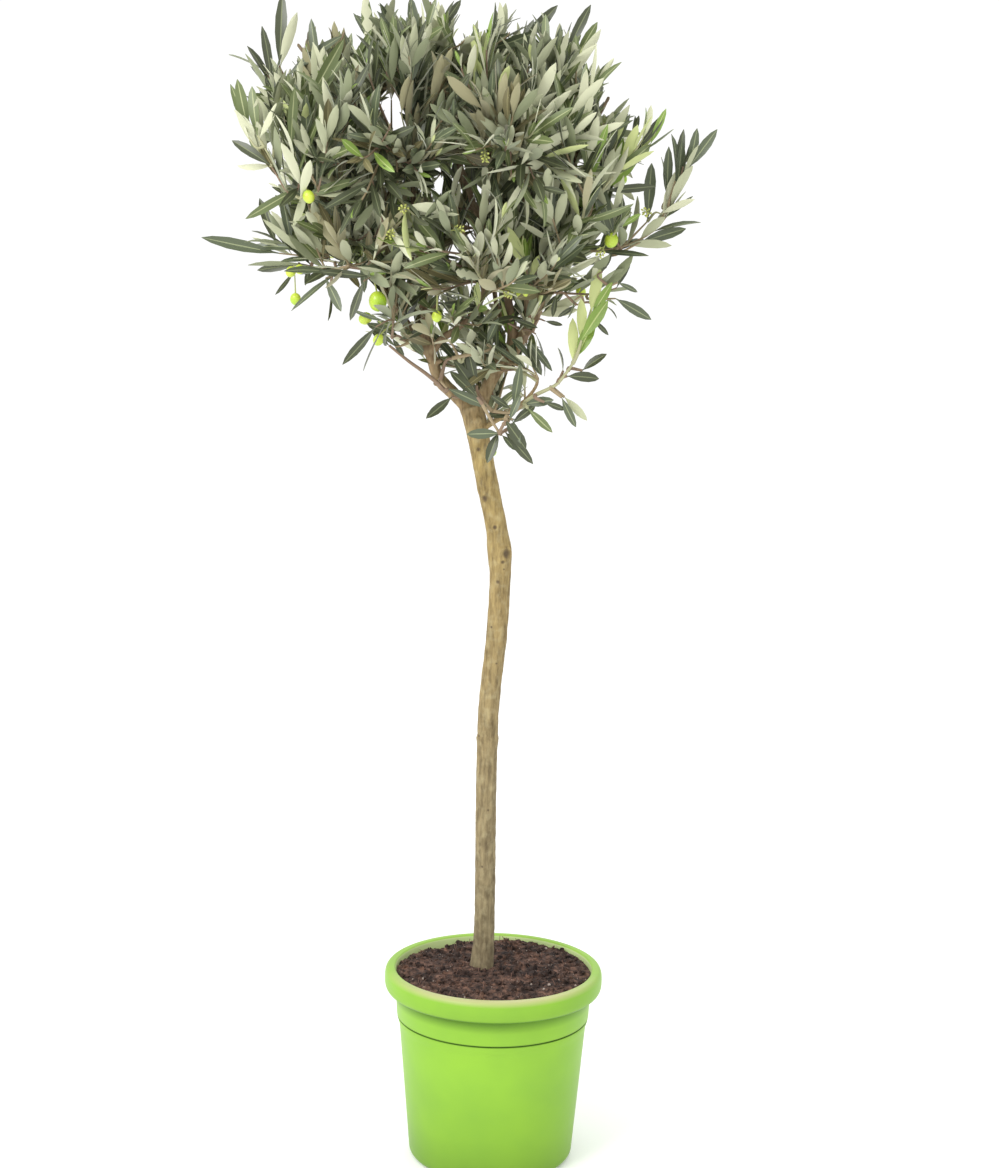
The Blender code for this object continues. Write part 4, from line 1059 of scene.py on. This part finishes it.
    ("grey", 0.3, (158, -20, 1037), (163, -20, 1047), (167, -20, 1103)),
    ("grey", 0.6, (166, -22, 1054), (172, -22, 1078), (179, -22, 1127)),
    ("shade", 0.5, (174, -18, 1071), (180, -18, 1093), (197, -18, 1127)),
    ("grey", 0.5, (154, -24, 1034), (162, -24, 1040), (192, -24, 1061)),
    ("sun", -0.8, (-252, -120, 1101), (-260, -120, 1111), (-272, -120, 1139)),
    ("shade", 0.4, (-215, -60, 984), (-220, -60, 978), (-238, -60, 953)),
    ("shade", 1, (-200, -60, 989), (-203, -60, 986), (-208, -60, 964)),
    ("grey", 1, (-186, -66, 984), (-191, -66, 982), (-216, -66, 976)),
    ("shade", 0.3, (-180, -80, 967), (-180, -80, 959), (-180, -80, 929)),
    ("shade", 0.8, (-55, 20, 1046), (-59, 20, 1056), (-68, 20, 1097)),
    ("worn", 1, (-51, 30, 1027), (-48, 30, 1037), (-42, 30, 1084)),
    ("shade", 0.9, (-30, 20, 1039), (-33, 20, 1049), (-43, 20, 1093)),
    ("grey", 0.8, (-60, 10, 1016), (-54, 10, 1023), (-40, 10, 1058)),
    ("shade", 1, (4, -52, 820), (8, -52, 825), (32, -52, 846)),
    ("grey", 1, (1, -56, 825), (5, -56, 829), (16, -56, 856)),
)
# Where more shoots end round the back of the fork, in millimetres.
FORK_TIPS = (
    (36, 62, 862), (4, 66, 880), (-36, 60, 856), (-76, 50, 890), (-50, 30, 915), (20, 40, 915),
)
# Windows through the head where the sky shows, as seen from the front: x and z in its middle plane,
# and the radius, all in millimetres.
WINDOWS = (
    (-128, 1153, 13), (-120, 1135, 11), (-44, 1026, 8), (-60, 1001, 8), (2, 866, 6), (-47, 1243, 11),
    (-29, 1234, 8), (-178, 1236, 8), (-160, 1218, 6), (-196, 1223, 5), (-1, 1236, 6), (96, 1158, 6),
    (91, 1202, 5), (68, 1189, 5), (72, 1099, 6), (-257, 1069, 6), (-38, 1018, 5), (52, 912, 11),
    (66, 928, 6), (4, 875, 8), (29, 858, 8), (44, 868, 9), (-80, 846, 9), (-114, 873, 10), (-198, 1241, 10),
    (-222, 1206, 7), (-229, 1192, 6), (-162, 1226, 9), (109, 1184, 9), (101, 1157, 9), (38, 931, 9),
    (30, 871, 8), (-153, 948, 7), (-193, 948, 6), (156, 1079, 6.8), (43, 1234, 6.4), (-116, 1245, 6),
    (-56, 1216, 6), (-252, 1195, 5.9), (97, 1161, 5.9), (-295, 1134, 5.9), (166, 1112, 5.9),
    (156, 1062, 5.9), (14, 1239, 5.3), (-47, 1227, 5.3), (154, 1049, 5.3), (-219, 960, 5.3),
    (107, 967, 5.3), (-266, 1170, 5), (-248, 1073, 5), (-172, 959, 6.8), (-205, 957, 5.3), (113, 1155, 5.3),
    (-236, 1190, 5), (-290, 1100, 5.9), (-279, 1096, 5.9), (-259, 1060, 5.3),
)


def metres(place):
    """A place given in millimetres."""
    return Vector([c / 1000 for c in place])


def in_head(point, margin=0.0):
    """Whether a point lies in the leafy outline, or no further outside it than the margin."""
    if not LEAFY[0][0] - margin <= point.z <= LEAFY[-1][0] + margin:
        return False
    middle, half = head_section(point.z, LEAFY)
    return math.hypot(point.x - middle, point.y / LEAFY_DEPTH) <= half + margin


class Mass:
    """A mass of foliage: its stem, the shoots that spring from it and the leaves on them."""

    def __init__(self, name, middle, scale=1.0):
        self.name, self.middle, self.scale = name, middle, scale
        self.stem = stems[name]
        self.random = random.Random(f"{SEED} {name}")
        self.bases = list(SHOOT_BASES)
        self.shoots, self.leaves = [], []

    def nearest_wood(self, point, twigs=()):
        """The place on a stem, limb or twig that something springs from: near, and not above it."""
        places = [limb.at(share)[0] for limb in (self.stem, *limbs.values()) for share in WOOD_SHARES]
        places += [twig.at(share)[0] for twig in twigs for share in TWIG_SHARES]
        return min(places, key=lambda place: (place - point).length + max(0.0, place.z - point.z))

    def add_spray(self, tone, side, bends, tip):
        """A listed shoot, from the nearest wood through its bends, with its last leaf."""
        base = self.nearest_wood(bends[0], set_by_hand)
        if (base - bends[0]).length < LEAF_STALK:
            bends[0] = base.lerp(bends[1] if bends[1:] else tip, NEAR_WOOD)
        path = curve_through([base, *bends], 5 + 4 * len(bends))
        first, last = FORK_RADII if self.name == "fork" else SHOOT_RADII
        shoot = Limb(path, taper(first, last, len(path)))
        set_by_hand.append(shoot)
        self.shoots.append((shoot, tone, tip, side))

    def add_shoot(self, tip):
        """A shoot that ends near the tip, from the place on the stem where it leaves most easily."""

        def strain(share):
            base, along, _ = self.stem.at(share)
            return (tip - base).angle(along) + SHOOT_STRAIN * (tip - base).length

        share = min(self.bases, key=strain)
        self.bases.remove(share)
        base, along, _ = self.stem.at(share)
        straight = (tip - base).normalized()
        rise = self.random.uniform(*(HIGH_RISE if tip.z > HIGH_TIP else LOW_RISE))
        out = (straight + rise * UP).normalized()
        end = tip - out * LEAF_LENGTH * self.scale * BEYOND_SHOOT
        path = arched(base, (ALONG_STEM * along + straight).normalized(), end, out, SHOOT_RINGS)
        self.shoots.append((Limb(path, taper(*SHOOT_RADII, SHOOT_RINGS)), None, None, 0))

    def add_side_shoots(self):
        """Shorter shoots from the nodes of each shoot, to either side and turned upwards."""
        for shoot, _, tip, _ in list(self.shoots):
            if tip and self.name == "fork":
                continue
            for share in SIDE_SHARES:
                if shoot.length * (1 - share) < SIDE_ROOM or self.random.random() < SIDE_SKIPPED:
                    continue
                base, along, _ = shoot.at(share)
                spin = Matrix.Rotation(self.random.uniform(0, math.tau), 3, along)
                off = spin @ along.orthogonal().normalized()
                away = (along * SIDE_SPLAY + off * SIDE_SPLAY + UP * SIDE_RISE).normalized()
                reach = self.random.uniform(*SIDE_LENGTHS)
                end = base + (away + UP * SIDE_TIP_RISE).normalized() * reach
                if not in_head(end + away * LEAF_LENGTH * BEYOND_SHOOT):
                    continue
                last_bend = end - UP * reach * SIDE_TIP_DROP
                path = interpolate_bezier(base, base + away * reach / 3, last_bend, end, SIDE_RINGS)
                self.shoots.append((Limb(path, taper(*SIDE_RADII, SIDE_RINGS)), None, None, 0))


def golden_direction(n, count):
    """One of so many directions spread evenly round a sphere."""
    rise = 1 - 2 * (n + 0.5) / count
    flat = math.sqrt(1 - rise * rise)
    return Vector((flat * math.cos(n * GOLDEN_ANGLE), flat * math.sin(n * GOLDEN_ANGLE), rise))


def head_reach(direction, step=0.004):
    """How far the head's outline lies from its middle in a direction."""
    reach = step
    while in_head(HEAD_MIDDLE + direction * reach):
        reach += step
    return reach


set_by_hand = []
masses = [Mass(name, head_point(*given)) for name, _, *given in MASSES]
fork = Mass("fork", FORK_MIDDLE, FORK_LEAF_SCALE)
masses.append(fork)


def nearest_mass(point, among):
    """The mass whose middle lies nearest."""
    return min(among, key=lambda mass: (point - mass.middle).length)


for tone, side, *places in SPRAYS:
    *bends, tip = [metres(place) for place in places]
    nearest_mass(bends[0], masses).add_spray(tone, side, bends, tip)
depths = random.Random(SEED)
for n in range(SHOOT_COUNT):
    direction = golden_direction(n, SHOOT_COUNT)
    depth = 1 - (1 - INNERMOST_TIP) * depths.random() ** 2
    if direction.z < LOWEST_DIRECTION:
        continue
    tip = HEAD_MIDDLE + direction * head_reach(direction) * depth
    nearest = nearest_mass(tip, masses[:-1])
    if nearest.bases:
        nearest.add_shoot(tip)
for tip in FORK_TIPS:
    fork.add_shoot(metres(tip))
for mass in masses:
    mass.add_side_shoots()
for n in range(LOW_SHOOTS):
    low, high = LOW_HEIGHTS
    height = low + (high - low) * math.sqrt((n + 0.5) / LOW_SHOOTS)
    middle, half = head_section(height, LEAFY)
    reach = half * depths.uniform(*LOW_REACHES)
    turn = n * GOLDEN_ANGLE
    tip = Vector((middle + reach * math.cos(turn), LEAFY_DEPTH * reach * math.sin(turn), height))
    mass = nearest_mass(tip, masses)
    base = mass.nearest_wood(tip - UP * LOW_SHOOT_DROP)
    straight = (tip - base).normalized()
    end = tip - straight * LEAF_LENGTH * 0.5
    path = arched(base, straight, end, (straight + LOW_SHOOT_RISE * UP).normalized(), LOW_RINGS)
    mass.shoots.append((Limb(path, taper(*SIDE_RADII, LOW_RINGS)), None, None, 0))


# ======== Leaves ========
# Opposite pairs of leathery, narrow leaves, each pair a quarter turn from the one before: dark grey-green
# and waxy above with a pale midrib, silvery felt below. They are closed thin blades in their own outline.
LEAF_SLENDERNESS = 0.197
LEAF_THICKNESS = 0.0005
LEAF_STATIONS = (
    (0.0, 0.09), (0.08, 0.16), (0.24, 0.64), (0.44, 0.95), (0.66, 0.96), (0.87, 0.60), (1.0, 0.05)
)  # share of the length, share of the half-width
LEAF_COLUMNS = (-1.0, -0.10, 0.10, 1.0, 0.0)  # the last is the underside's middle
FACE_KINDS = (0, 1, 0, 2, 2)  # what follows each column: 0 cuticle, 1 midrib, 2 felt
# A leaf's own bend and twist (mean and spread, in radians), fold, and breadth over the plain one.
LEAF_BENDS = (0.18, 0.28)
LEAF_TWISTS = (0.0, 0.18)
LEAF_FOLDS = (0.05, 0.30)
LEAF_BREADTHS = (0.80, 1.16)
BROADEST_SHORT = 1.2  # how much broader a short leaf may be
LEAF_ANGLES = (24, 55)  # degrees from the shoot
LEAF_CLOSING = 16  # how many degrees nearer they lie at its end
SUN_LEAN = 0.7  # how much leaves face their shoot's way rather than straight up
LEAF_ROLL = 1.0  # spread of how a leaf is rolled about its own length, in radians
NUDGES = (0.0, 0.5, -0.5, 1.0, -1.0)  # how far round the shoot a leaf that finds no room is tried
SHORTENED = 0.94  # from one try to the next
PAIR_WANDER = 0.3
OWN_TONE = 0.8  # the share of leaves in the tone of their shoot
BUD_LEAF_LENGTHS = (0.30, 0.50)
BUD_LEAF_SPLAY = 0.22
FRESH_BUD_SHARE = 0.45
# Leaves differ by where they grow: at the head's outside, in front of its middle, inside it or low down.
LEAF_LIFTS = {"outer": 0.50, "front": 0.30, "inner": 0.28, "low": 0.12}
REGION_SCALES = {"outer": 0.98, "front": 0.86, "inner": 0.80, "low": 0.84}
REGION_SPACINGS = {"outer": 0.0145, "front": 0.0125, "inner": 0.0118, "low": 0.0130}
LOW_BELOW = 0.96
OUTER_DEPTH = 0.07  # a shoot is inside if the head goes on this far past its end
FRONT_DEPTH, FRONT_HALF_WIDTH, FRONT_TOP = 0.06, 0.14, 1.17
LEAF_MARGIN = 0.005  # how far a leaf may reach out of the leafy outline
CROWDING_CELL = 0.0044  # at most one cell of a new leaf may be taken already
# Spots of a leaf that count for that, as shares of its length and of its half-width.
LEAF_SPOTS = [(along, aside) for along in (0.35, 0.6, 0.85) for aside in (-0.6, 0.6)]
# Tones by spray: upper side, midrib and underside. The shade, grey and sun tones are darker and paler
# copies of one leaf: partly the leaves' own tone, partly painted shade and painted light.
TONES = {
    "shade": ("#454B34", "#757C59", "#868D6B"),
    "grey": ("#59624A", "#8F9772", "#B2B694"),
    "sun": ("#697549", "#A8AF80", "#CDCFAF"),
    "fresh": ("#819D45", "#B7C47F", "#C6CF8C"),
    "worn": ("#6F694A", "#968F68", "#A6A17C"),
}
TONE_NAMES = tuple(TONES)
# Dealt by region, the tones also paint light and shade: the pale sun tone most at the head's outside, fewer
# in front of its middle and fewest inside.
TONE_WEIGHTS = {
    "outer": (20, 32, 40, 5, 3),
    "front": (27, 31, 25, 4, 13),
    "inner": (26, 33, 17, 3, 21),
    "low": (12, 38, 30, 4, 16),
}

crowded = set()


def cells_of(points):
    """The cells of space that the points lie in."""
    return {tuple(math.floor(c / CROWDING_CELL) for c in point) for point in points}


def in_window(point):
    """Whether a point lies in one of the windows, which run straight away from the camera."""
    for x, z, radius in WINDOWS:
        middle = metres((x, 0, z))
        along = (middle - Vector(CAMERA_PLACE)).normalized()
        apart = point - middle
        if (apart - apart.dot(along) * along).length < radius / 1000:
            return True
    return False


def add_leaf(mass, root, away, facing, length, tone, always=False):
    """Keeps the leaf if it stays clear of the windows and of other leaves, or if it must always be kept."""
    across = away.cross(facing).normalized()
    half = length * LEAF_SLENDERNESS / 2
    spots = [root + away * length * along + across * half * aside for along, aside in LEAF_SPOTS]
    if not always and any(in_window(spot) for spot in (*spots, root + away * length)):
        return False
    taken = cells_of(spots)
    if not always and len(taken & crowded) > 1:
        return False
    crowded.update(taken)
    draw = mass.random
    broad = draw.uniform(*LEAF_BREADTHS) * min(BROADEST_SHORT, math.sqrt(LEAF_LENGTH / length))
    if always and mass is fork:
        broad *= FORK_LEAF_BREADTH
    shape = (draw.gauss(*LEAF_BENDS), draw.gauss(*LEAF_TWISTS), draw.uniform(*LEAF_FOLDS), broad)
    mass.leaves.append((root, away, across, length, TONE_NAMES.index(tone), *shape))
    return True


def leaf_growth(late):
    """How long a leaf is for how late along its shoot it grows: shorter at the foot, short at the end."""
    return 1.08 - 0.10 * (1 - late) - 0.30 * max(0.0, late - 0.6) / 0.4


def grow_last_leaf(mass, shoot, tone, tip, side):
    """The last leaf of a listed spray, from the shoot's end to the tip, its broad side to the front."""
    root = shoot.path[-1]
    away = (tip - root).normalized()
    edge = math.sqrt(1 - side * side)
    front = Vector((mass.random.uniform(-0.4, 0.4) + edge, -side, mass.random.uniform(0.0, 0.5) + edge))
    facing = (front - front.dot(away) * away).normalized()
    add_leaf(mass, root, away, facing, (tip - root).length, tone, always=True)


def grow_leaves(mass, shoot, tone, tip):
    """Pairs along one shoot, smaller towards its tip, and two small leaves round its bud."""
    draw = mass.random
    end, out, _ = shoot.at(1.0)
    outer = not in_head(end + (end - HEAD_MIDDLE).normalized() * OUTER_DEPTH)
    fronted = end.y < -FRONT_DEPTH and abs(end.x - HEAD_MIDDLE.x) < FRONT_HALF_WIDTH and end.z < FRONT_TOP
    region = "low" if end.z < LOW_BELOW else "inner" if not outer else "front" if fronted else "outer"
    if not tone:
        tone = draw.choices(TONE_NAMES, TONE_WEIGHTS[region])[0]
    if tip and (mass is fork or shoot.length < BARE_LENGTH):
        return
    count = max(2, round(shoot.length * (1 - FIRST_NODE) / REGION_SPACINGS[region]))
    scale = mass.scale if tip else mass.scale * REGION_SCALES[region]
    turn = draw.uniform(0, math.tau)
    for node in range(count if tip else count + 1):
        share = FIRST_NODE + (1 - FIRST_NODE) * node / count
        place, along, radius = shoot.at(share)
        side = along.orthogonal().normalized()
        late = node / count
        for half_turn in (0, math.pi):
            length = LEAF_LENGTH * scale * draw.uniform(1 - LEAF_SPREAD, 1 + LEAF_SPREAD)
            length *= leaf_growth(late)
            for nudge in NUDGES:
                spin = Matrix.Rotation(turn + half_turn + nudge, 3, along)
                angle = math.radians(draw.uniform(*LEAF_ANGLES) - LEAF_CLOSING * late)
                away = along * math.cos(angle) + (spin @ side) * math.sin(angle)
                away = (away + LEAF_LIFTS[region] * UP).normalized()
                sun = along * SUN_LEAN + UP
                facing = (sun - sun.dot(away) * away).normalized()
                facing = Matrix.Rotation(draw.gauss(0, LEAF_ROLL), 3, away) @ facing
                own = tone if draw.random() < OWN_TONE else draw.choices(TONE_NAMES, TONE_WEIGHTS[region])[0]
                reach = place + away * length
                if (tip or mass is fork or in_head(reach, LEAF_MARGIN)) and add_leaf(
                    mass, place + away * radius * 0.5, away, facing, length, own
                ):
                    break
                length *= SHORTENED
        turn += math.pi / 2 + draw.uniform(-PAIR_WANDER, PAIR_WANDER)
    if tip:
        return
    for half_turn in (0, math.pi):
        spin = Matrix.Rotation(turn + half_turn, 3, out)
        side = spin @ out.orthogonal().normalized()
        away = (out + side * BUD_LEAF_SPLAY).normalized()
        length = LEAF_LENGTH * scale * draw.uniform(*BUD_LEAF_LENGTHS)
        own = "fresh" if draw.random() < FRESH_BUD_SHARE else tone
        add_leaf(mass, end, away, side * -1, length, own)


for mass in masses:
    for shoot, tone, tip, side in mass.shoots:
        if tip:
            grow_last_leaf(mass, shoot, tone, tip, side)
for mass in masses:
    for shoot, tone, tip, _ in mass.shoots:
        grow_leaves(mass, shoot, tone, tip)


def blades(name, leaves):
    """All the leaves as one mesh, worked out together as arrays: leaf by station by column."""
    root, away, across = (np.array([leaf[n] for leaf in leaves])[:, None, None, :] for n in range(3))
    facing = np.cross(across, away)
    length, tone, bend, twist, fold, broad = (
        np.array([leaf[n] for leaf in leaves])[:, None, None, None] for n in range(3, 9)
    )
    share, width = (np.array([s[n] for s in LEAF_STATIONS])[None, :, None, None] for n in range(2))
    column = np.array(LEAF_COLUMNS)[None, None, :, None]
    bend = np.where(np.abs(bend) < 0.01, 0.01, bend)
    turned_by = bend * share
    middle = root + length * (away * np.sin(turned_by) - facing * (1 - np.cos(turned_by))) / bend
    up = facing * np.cos(turned_by) + away * np.sin(turned_by)
    swing = twist * share
    side = across * np.cos(swing) + up * np.sin(swing)
    up = up * np.cos(swing) - across * np.sin(swing)
    half = width * length * LEAF_SLENDERNESS * broad / 2
    rise = np.abs(column) * half * fold
    is_under = np.arange(len(LEAF_COLUMNS))[None, None, :, None] == len(LEAF_COLUMNS) - 1
    lift = np.where(is_under, -LEAF_THICKNESS, 0.0)
    points = middle + side * half * column + up * (rise + lift)
    count, rows, columns = points.shape[:3]
    ring = np.arange(columns)
    base = (np.arange(count)[:, None, None] * rows + np.arange(rows - 1)[None, :, None]) * columns
    after = np.roll(ring, -1)
    quads = np.stack([base + ring, base + columns + ring, base + columns + after, base + after], -1)
    ends = np.arange(count)[:, None] * rows * columns
    caps = [ends + ring, ends + (rows - 1) * columns + ring[::-1]]
    kinds = np.array(FACE_KINDS)
    faces = [*quads.reshape(-1, 4).tolist(), *caps[0].tolist(), *caps[1].tolist()]
    mesh = bpy.data.meshes.new(name)
    mesh.from_pydata(points.reshape(-1, 3), [], faces)
    tone = tone.reshape(-1).astype(int)
    slots = (tone[:, None, None] * 3 + kinds[None, None, :]) + np.zeros((1, rows - 1, 1), int)
    slots = np.concatenate([slots.reshape(-1), np.tile(tone * 3 + 2, 2)])
    mesh.polygons.foreach_set("material_index", slots.astype(np.int32))
    piece = bpy.data.objects.new(name, mesh)
    bpy.context.collection.objects.link(piece)
    return piece


# Olive leaf: a thick waxy cuticle above, a felt of silvery scales below. Plain tones, dealt out by spray.
LEAF_SIDES = (
    ("cuticle", {"Roughness": 0.37}),
    ("midrib", {"Roughness": 0.55}),
    ("felt", {"Roughness": 0.8, "Sheen_Weight": 0.25}),
)
leaf_materials = [
    finish(f"{tone}_leaf_{side}", Base_Color=colour(code), **sockets)
    for tone, codes in TONES.items()
    for code, (side, sockets) in zip(codes, LEAF_SIDES)
]
for mass in masses:
    piece = blades(f"leaves_{mass.name}", mass.leaves)
    for material in leaf_materials:
        piece.data.materials.append(material)
    smooth(piece, 50)
    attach(piece, "root")
    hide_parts(f"foliage_{mass.name}")


# ======== Twigs ========
# The shoots' own wood, one piece. Young tips are pale sage green, older wood is greyish tan.
TWIG_AGES = {"fresh": 0, "sun": 0, "grey": 1, "shade": 2, "worn": 2}  # of listed sprays, by their tone
TWIG_WEIGHTS = (30, 42, 28)
twig_tubes = []
for mass in masses:
    for shoot, tone, _, _ in mass.shoots:
        age_rank = TWIG_AGES[tone] if tone else mass.random.choices(range(3), TWIG_WEIGHTS)[0]
        twig_tubes.append((shoot, age_rank))
TWIG_WOODS = (
    ("one_year_olive_wood", "#ABAA84", 0.70),
    ("older_olive_twig", "#9D8C6E", 0.80),
    ("oldest_olive_twig", "#8A7561", 0.85),
)
woods = [finish(name, Base_Color=colour(code), Roughness=matt) for name, code, matt in TWIG_WOODS]
twigs = drawn("twigs", twig_tubes, 1, woods)
smooth(twigs, 60)
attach(twigs, "root")


# ======== Fruit ========
# Unripe olives, firm and waxy, each on a short stalk from a node, and sprays of flower buds like grains
# of rice. They hang under the shoots that bear them.
OLIVE_LENGTH = 0.0160
OLIVE_WIDTH = 0.0142
STALK_RADIUS = 0.0006
LONGEST_STALK = 0.034
SHORTEST_STALK = 0.005
NODE_ABOVE = 0.012  # how far over an olive its node lies at best
# Where an olive hangs, in millimetres, and its size over that of the plain one.
OLIVES = (
    ((-199, -130, 1054), 0.85), ((-222, -70, 978), 0.75), ((-212, -80, 981), 0.7), ((-218, -60, 950), 0.8),
    ((-131, -100, 951), 1.3), ((-144, -90, 933), 0.9), ((-131, -80, 911), 0.8), ((-71, -100, 937), 0.75),
    ((108, -60, 1020), 1.0), ((15, -90, 963), 0.9), ((-12, -35, 793), 0.6), ((60, 120, 1000), 0.95),
    ((-170, 110, 990), 0.85), ((-60, 150, 960), 0.9), ((90, 60, 940), 0.8), ((-230, 60, 1060), 0.9),
    ((20, 110, 1090), 0.8), ((120, 40, 1080), 0.75),
)
# Where a spray of flower buds points, in millimetres.
BUD_SPRAYS = (
    (-24, -150, 1074), (-107, -150, 1028), (-112, -140, 1008), (-48, -140, 1017), (-2, -90, 954),
    (132, -40, 1033), (95, -60, 986), (-60, 140, 1060), (80, 90, 1050), (-200, 80, 1020), (-130, 120, 1120),
)
BUDS_PER_SPRAY = 13
BUD_LENGTH = 0.0032
BUD_SPRAY_LENGTH = 0.014
BUD_STALK_LENGTH = 0.0042
OLIVE_HANG = 0.7  # how much olives turn straight down
BUD_SPRAY_RISE = 0.6
BUD_LEAN = 0.7

fruit_random = random.Random(SEED)
node_shares = (0.3, 0.5, 0.7, 0.9)
nodes = [shoot.at(share)[0] for mass in masses for shoot, *_ in mass.shoots for share in node_shares]


def hung_from(spot):
    """The node that something at the spot hangs from: near it, and rather above it than below."""
    return min(nodes, key=lambda node: (node - spot - UP * NODE_ABOVE).length)


def turned_shape(name, profile, steps):
    """A small turned piece about one unit long, for copying."""
    piece = turned(name, profile, steps)
    smooth(piece, 60)
    return piece


olive_profile = [(0, -0.5), *arc((0, 0), 0.5, 0.5, -72, 66, 7), (0.10, 0.495), (0, 0.5)]
olive_shape = turned_shape("olive_shape", olive_profile, 12)
bud_shape = turned_shape("bud_shape", [(0, -0.5), *arc((0, 0), 0.36, 0.5, -50, 50, 2), (0, 0.5)], 6)
olives, stalks, buds = [], [], []


def copied(shape, place, along, width, length):
    """A copy of the shape at the place, its axis along the direction."""
    piece = shape.copy()
    piece.data = shape.data.copy()
    turn = along.to_track_quat("Z", "Y").to_matrix().to_4x4()
    piece.data.transform(Matrix.Translation(place) @ turn @ Matrix.Diagonal((width, width, length, 1)))
    bpy.context.collection.objects.link(piece)
    return piece


for spot, size in OLIVES:
    spot = metres(spot)
    node = hung_from(spot)
    length, width = OLIVE_LENGTH * size, OLIVE_WIDTH * size
    reach = max(length * 0.5 + SHORTEST_STALK, (spot - node).length)
    drop = (spot - node).normalized() * min(LONGEST_STALK, reach)
    middle = node + drop
    hang = (drop.normalized() - UP * OLIVE_HANG).normalized()
    stalk_end = middle - hang * length * 0.48
    olives.append(copied(olive_shape, middle, hang, width, length))
    path = interpolate_bezier(node, node + drop * 0.3 + UP * 0.002, stalk_end - hang * 0.004, stalk_end, 8)
    stalks.append(Limb(path, taper(STALK_RADIUS, STALK_RADIUS * 1.5, 8)))
for spot in BUD_SPRAYS:
    spot = metres(spot)
    node = hung_from(spot)
    out = ((spot - node).normalized() + UP * BUD_SPRAY_RISE).normalized()
    end = node + out * BUD_SPRAY_LENGTH
    stalks.append(Limb([node, (node + end) / 2, end], taper(STALK_RADIUS, STALK_RADIUS * 0.7, 3)))
    for number in range(BUDS_PER_SPRAY):
        share = 0.3 + 0.7 * number / (BUDS_PER_SPRAY - 1)
        spin = Matrix.Rotation(number * GOLDEN_ANGLE, 3, out)
        away = (spin @ out.orthogonal().normalized() + out * BUD_LEAN).normalized()
        reach = BUD_STALK_LENGTH * (1.2 - share * 0.7)
        root = node + out * BUD_SPRAY_LENGTH * share
        size = BUD_LENGTH * fruit_random.uniform(0.75, 1.15)
        stalks.append(Limb([root, root + away * reach], [STALK_RADIUS * 0.6, STALK_RADIUS * 0.5]))
        buds.append(copied(bud_shape, root + away * (reach + size * 0.4), away, size, size))
for shape in (olive_shape, bud_shape):
    bpy.data.objects.remove(shape)

# Unripe olive skin: taut and waxy, yellow-green with pale specks about half a millimetre across.
olive_skin = finish("unripe_olive_skin", Roughness=0.33, Coat_Weight=0.2, Coat_Roughness=0.2)
where = add_node(olive_skin, "ShaderNodeTexCoord").outputs["Object"]
blush = ramp(olive_skin, clouds(olive_skin, where, 30, 1), [(0.35, "#9FC428"), (0.65, "#CBDA4C")])
specks = add_node(olive_skin, "ShaderNodeTexVoronoi", [("Vector", where), ("Scale", 700)])
speck_share = spread(olive_skin, specks.outputs["Distance"], 0.12, 0.28, 0.5, 0.0)
feed(olive_skin, Base_Color=mixed(olive_skin, speck_share, blush, colour("#E4ECA0")))
# Flower buds: matt, pale yellow-green. Stalks: smooth green wood.
bud_skin = finish("olive_flower_bud", Base_Color=colour("#C8CE72"), Roughness=0.6)
stalk_wood = finish("green_stalk", Base_Color=colour("#A9B06A"), Roughness=0.6)
olives_piece = joined("olives", olives)
olives_piece.data.materials.append(olive_skin)
buds_piece = joined("flower_buds", buds)
buds_piece.data.materials.append(bud_skin)
stalks_piece = drawn("fruit_stalks", [(stalk, 0) for stalk in stalks], 1)
stalks_piece.data.materials.append(stalk_wood)
for piece in (olives_piece, buds_piece, stalks_piece):
    smooth(piece, 60)
    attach(piece, "root")
